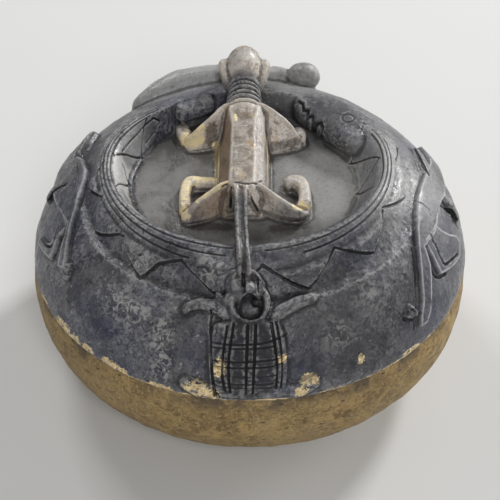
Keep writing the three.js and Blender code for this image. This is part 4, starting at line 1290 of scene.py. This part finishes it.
def make_bowl():
    bowl = object_from("carved_bowl", *together([bowl_shell(), *dividers()]))
    fuse(bowl, BOWL_VOXEL)
    mesh = bowl.data
    mesh.shade_smooth()
    points, outward = coordinates(mesh), normals(mesh)
    radius = np.hypot(points[:, 0], points[:, 1])
    fixed = (points[:, 2] < 1.5) | ((radius > 175) & (points[:, 2] > BOWL_HEIGHT - 2))
    reach, tilt, shade = facets(points, BOWL_SCOOPS, SEED + 1)
    scoop = scooped(reach, tilt, 0.006, 12, 0.9)
    wave = 0.5 * wobble(points, 60, 2) - 0.5
    points += outward * np.where(fixed, 0, np.minimum(scoop, 0) + wave)[:, None]
    bend = ((points - averaged(points, edge_ends(mesh), 3)) * outward).sum(-1)
    out, up = cavity_profile(50).T
    inside = (points[:, 2] > BOWL_FLOOR - 2) & (outward[:, 2] > -0.9) & (radius < SEAT_RADIUS - 8)
    inside &= radius < np.interp(points[:, 2], up, out) + 4
    for name, values in {"inside": inside, "facet": shade, "bend": np.clip(0.5 + bend * 1.5, 0, 1)}.items():
        attribute(mesh, name, values)
    set_within(mesh, points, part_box("bowl"))
    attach(bowl, "bowl")
    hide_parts("bowl")
    return bowl


# Materials

class Nodes:
    """A small hand for wiring a material's nodes"""

    def __init__(self, name):
        self.material = bpy.data.materials.new(name)
        self.material.use_nodes = True
        self.tree = self.material.node_tree
        self.shader = self.tree.nodes["Principled BSDF"]
        self.place = self.tree.nodes.new("ShaderNodeTexCoord").outputs["Object"]

    def feed(self, node, inputs):
        """Links each input of a node, or sets its value"""
        for key, value in inputs.items():
            if isinstance(value, bpy.types.NodeSocket):
                self.tree.links.new(value, node.inputs[key])
            else:
                node.inputs[key].default_value = value

    def add(self, kind, inputs, **settings):
        node = self.tree.nodes.new(kind)
        for key, value in settings.items():
            setattr(node, key, value)
        self.feed(node, inputs)
        return node.outputs

    def attribute(self, name):
        return self.add("ShaderNodeAttribute", {}, attribute_name=name)["Fac"]

    def axis(self, name):
        return self.add("ShaderNodeSeparateXYZ", {0: self.place})[name]

    def stretched(self, scale):
        return self.add("ShaderNodeMapping", {"Vector": self.place, "Scale": scale})["Vector"]

    def noise(self, size, detail=4.0, roughness=0.55, distortion=0.0, place=None):
        """Noise whose features are `size` metres across"""
        inputs = {"Vector": place or self.place, "Scale": 1 / size, "Detail": detail}
        inputs |= {"Roughness": roughness, "Distortion": distortion}
        return self.add("ShaderNodeTexNoise", inputs)["Fac"]

    def cells(self, size, place):
        return self.add("ShaderNodeTexVoronoi", {"Vector": place, "Scale": 1 / size})["Distance"]

    def span(self, value, low, high, start=0.0, end=1.0):
        inputs = {"Value": value, "From Min": low, "From Max": high, "To Min": start, "To Max": end}
        return self.add("ShaderNodeMapRange", inputs, interpolation_type="SMOOTHSTEP")["Result"]

    def math(self, operation, a, b):
        return self.add("ShaderNodeMath", {0: a, 1: b}, operation=operation)[0]

    def times(self, a, b):
        return self.math("MULTIPLY", a, b)

    def blend(self, amount, a, b):
        """Colour a, with colour b laid over it by the amount"""
        a, b = (colour if isinstance(colour, bpy.types.NodeSocket) else (*colour, 1) for colour in (a, b))
        return self.add("ShaderNodeMix", {"Factor": amount, 6: a, 7: b}, data_type="RGBA")[2]

    def tint(self, base, mask, share, colour):
        """Lays a colour over the base by a share of a mask"""
        return self.blend(self.times(mask, share), base, colour)

    def patch(self, base, value, low, high, share, colour):
        """Lays a colour over the base, up to a share, as a value goes from low to high"""
        return self.blend(self.span(value, low, high, 0, share), base, colour)

    def ragged(self, name, noise, start, end, low=0.3):
        """An attribute whose borders are broken up by a noise"""
        return self.math("ADD", self.attribute(name), self.span(noise, low, 1 - low, start, end))

    def bump(self, height, strength, distance, **under):
        inputs = {"Height": height, "Strength": strength, "Distance": distance, **under}
        return self.add("ShaderNodeBump", inputs)["Normal"]

    def finish(self, **sockets):
        self.feed(self.shader, {name.replace("_", " "): value for name, value in sockets.items()})
        return self.material


def dome_stain_and_glints(n, middle, fine):
    """Blue-black, with a grey bloom, dark specks, pale specks painted as glints of gloss, and the facets' own
    shades
    """
    stain = n.blend(n.span(middle, 0.32, 0.7), (0.024, 0.024, 0.03), (0.115, 0.115, 0.123))
    stain = n.patch(stain, n.noise(0.09, 3), 0.42, 0.62, 0.75, (0.055, 0.06, 0.108))
    stain = n.patch(stain, n.attribute("facet"), 0.2, 1.0, 0.45, (0.17, 0.17, 0.18))
    bloom = n.times(n.span(n.noise(0.035, 6, 0.65), 0.4, 0.66), n.span(fine, 0.38, 0.6))
    stain = n.tint(stain, bloom, 0.7, (0.31, 0.31, 0.315))
    stain = n.patch(stain, n.noise(0.0028, 4, 0.7, 0.5), 0.5, 0.62, 0.7, (0.016, 0.016, 0.022))
    # Painted highlight: pale fine specks standing in for glints of gloss
    stain = n.patch(stain, n.noise(0.0042, 3, 0.6, 0.3), 0.6, 0.7, 0.62, (0.36, 0.36, 0.37))
    return n.patch(stain, n.noise(0.05, 2, 0.5, 0.4), 0.5, 0.64, 0.3, (0.03, 0.03, 0.038))


def basin_stain_and_shadow(n, middle, fine):
    """Grey-brown, lighter to the right, with painted shadow darkening it in front"""
    basin = n.blend(n.span(n.axis("X"), -0.09, 0.08), (0.125, 0.122, 0.117), (0.28, 0.276, 0.27))
    basin = n.patch(basin, middle, 0.35, 0.68, 0.4, (0.3, 0.295, 0.285))
    basin = n.patch(basin, fine, 0.5, 0.68, 0.4, (0.09, 0.087, 0.083))
    # Painted shadow: near-black toward the front, under the ridge's inner wall and the animal's rump
    return n.patch(basin, n.axis("Y"), -0.042, -0.09, 0.92, (0.035, 0.033, 0.031))


def lid_stain_and_light(n, middle, fine):
    """The stain everywhere, with its pale, chalk-like and darker parts, painted highlights on the right side,
    and painted shade
    """
    stain = n.blend(n.attribute("basin"), dome_stain_and_glints(n, middle, fine), basin_stain_and_shadow(n, middle, fine))
    # Pale patches and the rubbed ridge; on the dome's right side and the ridge's right part this is a painted
    # highlight
    pale = n.times(n.attribute("pale"), n.span(n.noise(0.006, 6, 0.7, 1.0), 0.46, 0.6))
    stain = n.tint(stain, pale, 0.8, (0.45, 0.445, 0.43))
    # Chalk-like wall and pale grey patches on the back, with painted highlights on the dome's right side and
    # along the ridge's right part
    chalk_and_sheen = n.times(n.attribute("wall"), n.span(n.noise(0.004, 5, 0.7), 0.3, 0.5, 0.55, 1))
    stain = n.blend(chalk_and_sheen, stain, (0.52, 0.515, 0.5))
    # Darker: the shell's dark stain, and painted shade on the inner wall in front, round the large head and
    # in shaded patches
    return n.tint(stain, n.attribute("dusky_and_shade"), 0.8, (0.018, 0.018, 0.02))


def figure_wood(n, middle, stain):
    """The animal's brown wood, lighter on faces turned to the front (partly rubbed, partly painted light),
    with a painted highlight on its right side, painted shade on its left, and the stain left on its neck and
    tail
    """
    brown = n.blend(n.span(n.noise(0.012, 5, 0.6, 0.8), 0.35, 0.7), (0.16, 0.125, 0.095), (0.42, 0.38, 0.33))
    brown = n.patch(brown, n.noise(0.03, 3), 0.45, 0.65, 0.7, (0.47, 0.45, 0.42))
    # Faces turned to the front are lightened: partly rubbed wood, partly painted light
    worn_and_lit_front = n.times(n.attribute("facing"), n.span(middle, 0.3, 0.55, 0.35, 0.9))
    brown = n.blend(worn_and_lit_front, brown, (0.8, 0.72, 0.63))
    # Painted highlight on the right side, toward the key lamp
    brown = n.tint(brown, n.attribute("chamfer"), 0.42, (0.78, 0.75, 0.73))
    brown = n.patch(brown, n.noise(0.009, 6, 0.7, 1.2), 0.52, 0.64, 0.5, (0.27, 0.21, 0.155))
    brown = n.patch(brown, n.noise(0.016, 5, 0.7, 1.5), 0.52, 0.62, 0.5, (0.72, 0.67, 0.59))
    brown = n.patch(brown, n.noise(0.011, 4, 0.6, 0.5), 0.59, 0.67, 0.55, (0.56, 0.36, 0.16))
    # Painted shade on the left side, away from the key lamp
    brown = n.tint(brown, n.attribute("flank"), 0.65, (0.29, 0.175, 0.1))
    streaks = n.noise(0.005, 5, 0.65, place=n.stretched((1, 0.16, 1)))
    brown = n.patch(brown, streaks, 0.5, 0.68, 0.65, (0.15, 0.11, 0.08))
    brown = n.patch(brown, n.noise(0.0025, 5, 0.7), 0.5, 0.66, 0.6, (0.12, 0.09, 0.068))
    worn = n.times(n.span(n.attribute("bend"), 0.6, 0.95), n.span(middle, 0.3, 0.55))
    brown = n.tint(brown, worn, 0.45, (0.72, 0.64, 0.53))
    return n.tint(brown, n.attribute("dark"), 0.9, stain)


def lid_wear_shadow_and_highlight(n, colour, middle, fine):
    """Painted shadow in the corners, the tail's stain, rubbed wood, a painted highlight just inside the
    slabs' borders, and worn edges
    """
    on_tail = n.times(n.attribute("dark"), n.span(n.axis("Y"), -0.03, -0.05))
    colour = n.tint(colour, on_tail, 0.55, (0.045, 0.044, 0.045))
    # Painted shadow: near-black along the shadow lines, under the thighs, in the hollows and on the arms'
    # front faces
    painted_shadow = n.ragged("painted_shadow", n.noise(0.004, 5, 0.65), -0.4, 0.3)
    colour = n.patch(colour, painted_shadow, 0.1, 0.95, 0.68, (0.035, 0.028, 0.022))
    rubbed = n.ragged("rubbed", n.noise(0.003, 5, 0.7), -0.5, 0.25)
    colour = n.patch(colour, rubbed, 0.22, 0.62, 0.9, (0.95, 0.78, 0.44))
    # Painted highlight: a light band just inside each slab's border
    rail = n.times(n.attribute("rail"), n.span(middle, 0.3, 0.5))
    colour = n.tint(colour, rail, 0.75, (0.46, 0.46, 0.475))
    edge_wear = n.times(n.span(n.attribute("bend"), 0.6, 0.9), n.span(fine, 0.4, 0.58))
    return n.tint(colour, edge_wear, 0.45, (0.4, 0.39, 0.38))


def flaked(n, colour, fine):
    """Bare wood where the stain has flaked off, in patches and along the lid's lower edge"""
    wood = n.blend(n.span(fine, 0.3, 0.7), (0.5, 0.355, 0.16), (0.95, 0.78, 0.46))
    flakes = n.ragged("bare", n.noise(0.0045, 6, 0.75, 0.8), -0.7, 0.5, 0.32)
    rim = n.ragged("rim", n.noise(0.018, 5, 0.7), -0.7, 0.2)
    colour = n.blend(n.span(flakes, 0.52, 0.66), colour, wood)
    return n.blend(n.span(rim, 0.5, 0.7), colour, wood)


def stained_wood():
    n = Nodes("stained_wood")
    middle = n.noise(0.022, 5, 0.6, 0.6)
    fine = n.noise(0.0035, 5, 0.65)
    stain = lid_stain_and_light(n, middle, fine)
    colour = n.blend(n.attribute("figure"), stain, figure_wood(n, middle, stain))
    colour = flaked(n, lid_wear_shadow_and_highlight(n, colour, middle, fine), fine)
    # Painted shade: near-black in the grooves, cuts and hollows, and in concave places
    hollow = n.times(n.span(n.attribute("bend"), 0.44, 0.2), 0.7)
    dark = n.math("MAXIMUM", n.span(n.attribute("crease"), 0.1, 0.8), hollow)
    colour = n.tint(colour, dark, 0.88, (0.008, 0.0075, 0.008))
    under_lid = n.blend(n.span(middle, 0.3, 0.7), (0.2, 0.15, 0.085), (0.36, 0.27, 0.15))
    colour = n.blend(n.attribute("under"), colour, under_lid)
    gloss = n.span(n.math("ADD", middle, fine), 0.75, 1.25, 0.23, 0.54)
    roughness = n.math("MAXIMUM", gloss, n.times(n.attribute("dusky_and_shade"), 0.85))
    grain = n.noise(0.0022, 4, 0.7, place=n.stretched((1, 0.3, 1)))
    normal = n.bump(n.noise(0.007, 5, 0.65), 0.4, 0.0012)
    normal = n.bump(grain, 0.45, 0.0008, Normal=normal)
    normal = n.bump(n.span(n.noise(0.0016, 3, 0.7), 0.3, 0.42), 0.5, 0.0006, Normal=normal)
    return n.finish(Base_Color=colour, Roughness=roughness, Specular_IOR_Level=0.5, Normal=normal)


def bare_wood():
    n = Nodes("bare_wood")
    middle = n.noise(0.013, 5, 0.64, 0.8)
    fine = n.noise(0.003, 5, 0.7)
    wood = n.blend(n.span(middle, 0.32, 0.7), (0.15, 0.092, 0.033), (0.43, 0.295, 0.12))
    wood = n.patch(wood, n.noise(0.07, 4, 0.6), 0.4, 0.66, 0.6, (0.35, 0.25, 0.112))
    wood = n.patch(wood, n.attribute("facet"), 0.3, 1, 0.3, (0.19, 0.125, 0.055))
    streaks = n.noise(0.014, 5, 0.6, place=n.stretched((1, 1, 4)))
    wood = n.patch(wood, streaks, 0.54, 0.68, 0.75, (0.11, 0.068, 0.03))
    wood = n.patch(wood, fine, 0.5, 0.64, 0.65, (0.5, 0.37, 0.18))
    spots = n.span(n.cells(0.014, n.stretched((1, 1, 2.4))), 0.2, 0.1)
    spots = n.times(spots, n.span(n.noise(0.02), 0.44, 0.52))
    wood = n.tint(wood, spots, 0.9, (0.05, 0.032, 0.02))
    flecks = n.span(n.noise(0.0028, 3, 0.6, place=n.stretched((1, 1, 2))), 0.6, 0.67)
    wood = n.tint(wood, flecks, 0.75, (0.06, 0.038, 0.02))
    wood = n.patch(wood, n.attribute("bend"), 0.6, 0.85, 0.4, (0.5, 0.4, 0.24))
    height = n.math("ADD", n.axis("Z"), n.span(middle, 0.2, 0.8, -0.006, 0.006))
    smear = n.times(n.span(height, 0.098, 0.114, 0, 0.85), n.span(n.noise(0.03, 5, 0.65), 0.42, 0.6))
    wood = n.blend(smear, wood, (0.07, 0.055, 0.042))
    inside = n.blend(n.span(middle, 0.3, 0.7), (0.24, 0.165, 0.085), (0.4, 0.29, 0.155))
    colour = n.tint(wood, n.attribute("inside"), 0.85, inside)
    roughness = n.span(n.math("ADD", middle, fine), 0.7, 1.3, 0.5, 0.75)
    grain = n.noise(0.002, 4, 0.7, place=n.stretched((1, 1, 0.2)))
    normal = n.bump(n.noise(0.007, 5, 0.6), 0.3, 0.0018)
    normal = n.bump(grain, 0.3, 0.0006, Normal=normal)
    return n.finish(Base_Color=colour, Roughness=roughness, Specular_IOR_Level=0.35, Normal=normal)


# The stage

def make_camera():
    data = bpy.data.cameras.new("camera")
    data.sensor_width = SENSOR_WIDTH
    data.lens = FOCAL_PIXELS * SENSOR_WIDTH / PHOTO_WIDTH
    data.shift_x, data.shift_y = SHIFT
    camera = bpy.data.objects.new("camera", data)
    back = CAMERA_DISTANCE * math.cos(CAMERA_ELEVATION)
    up = CAMERA_DISTANCE * math.sin(CAMERA_ELEVATION)
    camera.location = (0, -back, AIM_HEIGHT + up)
    camera.rotation_euler = (math.pi / 2 - CAMERA_ELEVATION, 0, 0)
    bpy.context.scene.collection.objects.link(camera)
    bpy.context.scene.camera = camera


def make_lamp(name, place, aim, power, size):
    data = bpy.data.lights.new(name, "AREA")
    data.energy = power
    data.size = size
    lamp = bpy.data.objects.new(name, data)
    lamp.location = place
    lamp.rotation_euler = (Vector(aim) - Vector(place)).to_track_quat("-Z", "Y").to_euler()
    bpy.context.scene.collection.objects.link(lamp)


# Name, place, aim, power and size, in metres and watts
LAMPS = [
    ("key", (2.9, 3.3, 2.9), (0, 0, 0.15), 178, 0.9),
    ("sheen", (3.4, 1.7, 1.0), (0.1, 0, 0.15), 50, 1.3),
    ("top", (-1.6, 2.7, 3.1), (0, 0, 0.15), 58, 1.3),
    ("left", (-2.8, -0.5, 1.7), (0, 0, 0.15), 4, 1.5),
    ("front", (0.5, -2.75, 2.5), (0, 0, 0.1), 54, 1.2),
]
WORLD_STRENGTH = 0.14
FLOOR_REACH = 12


def make_stage():
    scene = bpy.context.scene
    scene.view_settings.view_transform = "Standard"
    world = bpy.data.worlds.new("studio")
    world.use_nodes = True
    background = world.node_tree.nodes["Background"].inputs
    background["Color"].default_value = (1, 1, 1, 1)
    background["Strength"].default_value = WORLD_STRENGTH
    scene.world = world
    for lamp in LAMPS:
        make_lamp(*lamp)
    mesh = bpy.data.meshes.new("floor")
    corners = [(x * FLOOR_REACH, y * FLOOR_REACH, 0) for x, y in ((-1, -1), (1, -1), (1, 1), (-1, 1))]
    mesh.from_pydata(corners, [], [(0, 1, 2, 3)])
    floor = bpy.data.objects.new("floor", mesh)
    scene.collection.objects.link(floor)
    mesh.materials.append(Nodes("pale_floor").finish(Base_Color=(0.69, 0.69, 0.68, 1), Roughness=0.9))
    floor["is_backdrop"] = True


make_camera()
make_stage()
lid = make_lid()
lid.data.materials.clear()
lid.data.materials.append(stained_wood())
bowl = make_bowl()
bowl.data.materials.clear()
bowl.data.materials.append(bare_wood())
for piece in (lid, bowl):
    print(piece.name, len(piece.data.vertices), "vertices", len(piece.data.polygons), "faces")

boxes = {"cad": cad_box, "visual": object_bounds()}
{name: [list(corner) for corner in box] for name, box in boxes.items()}
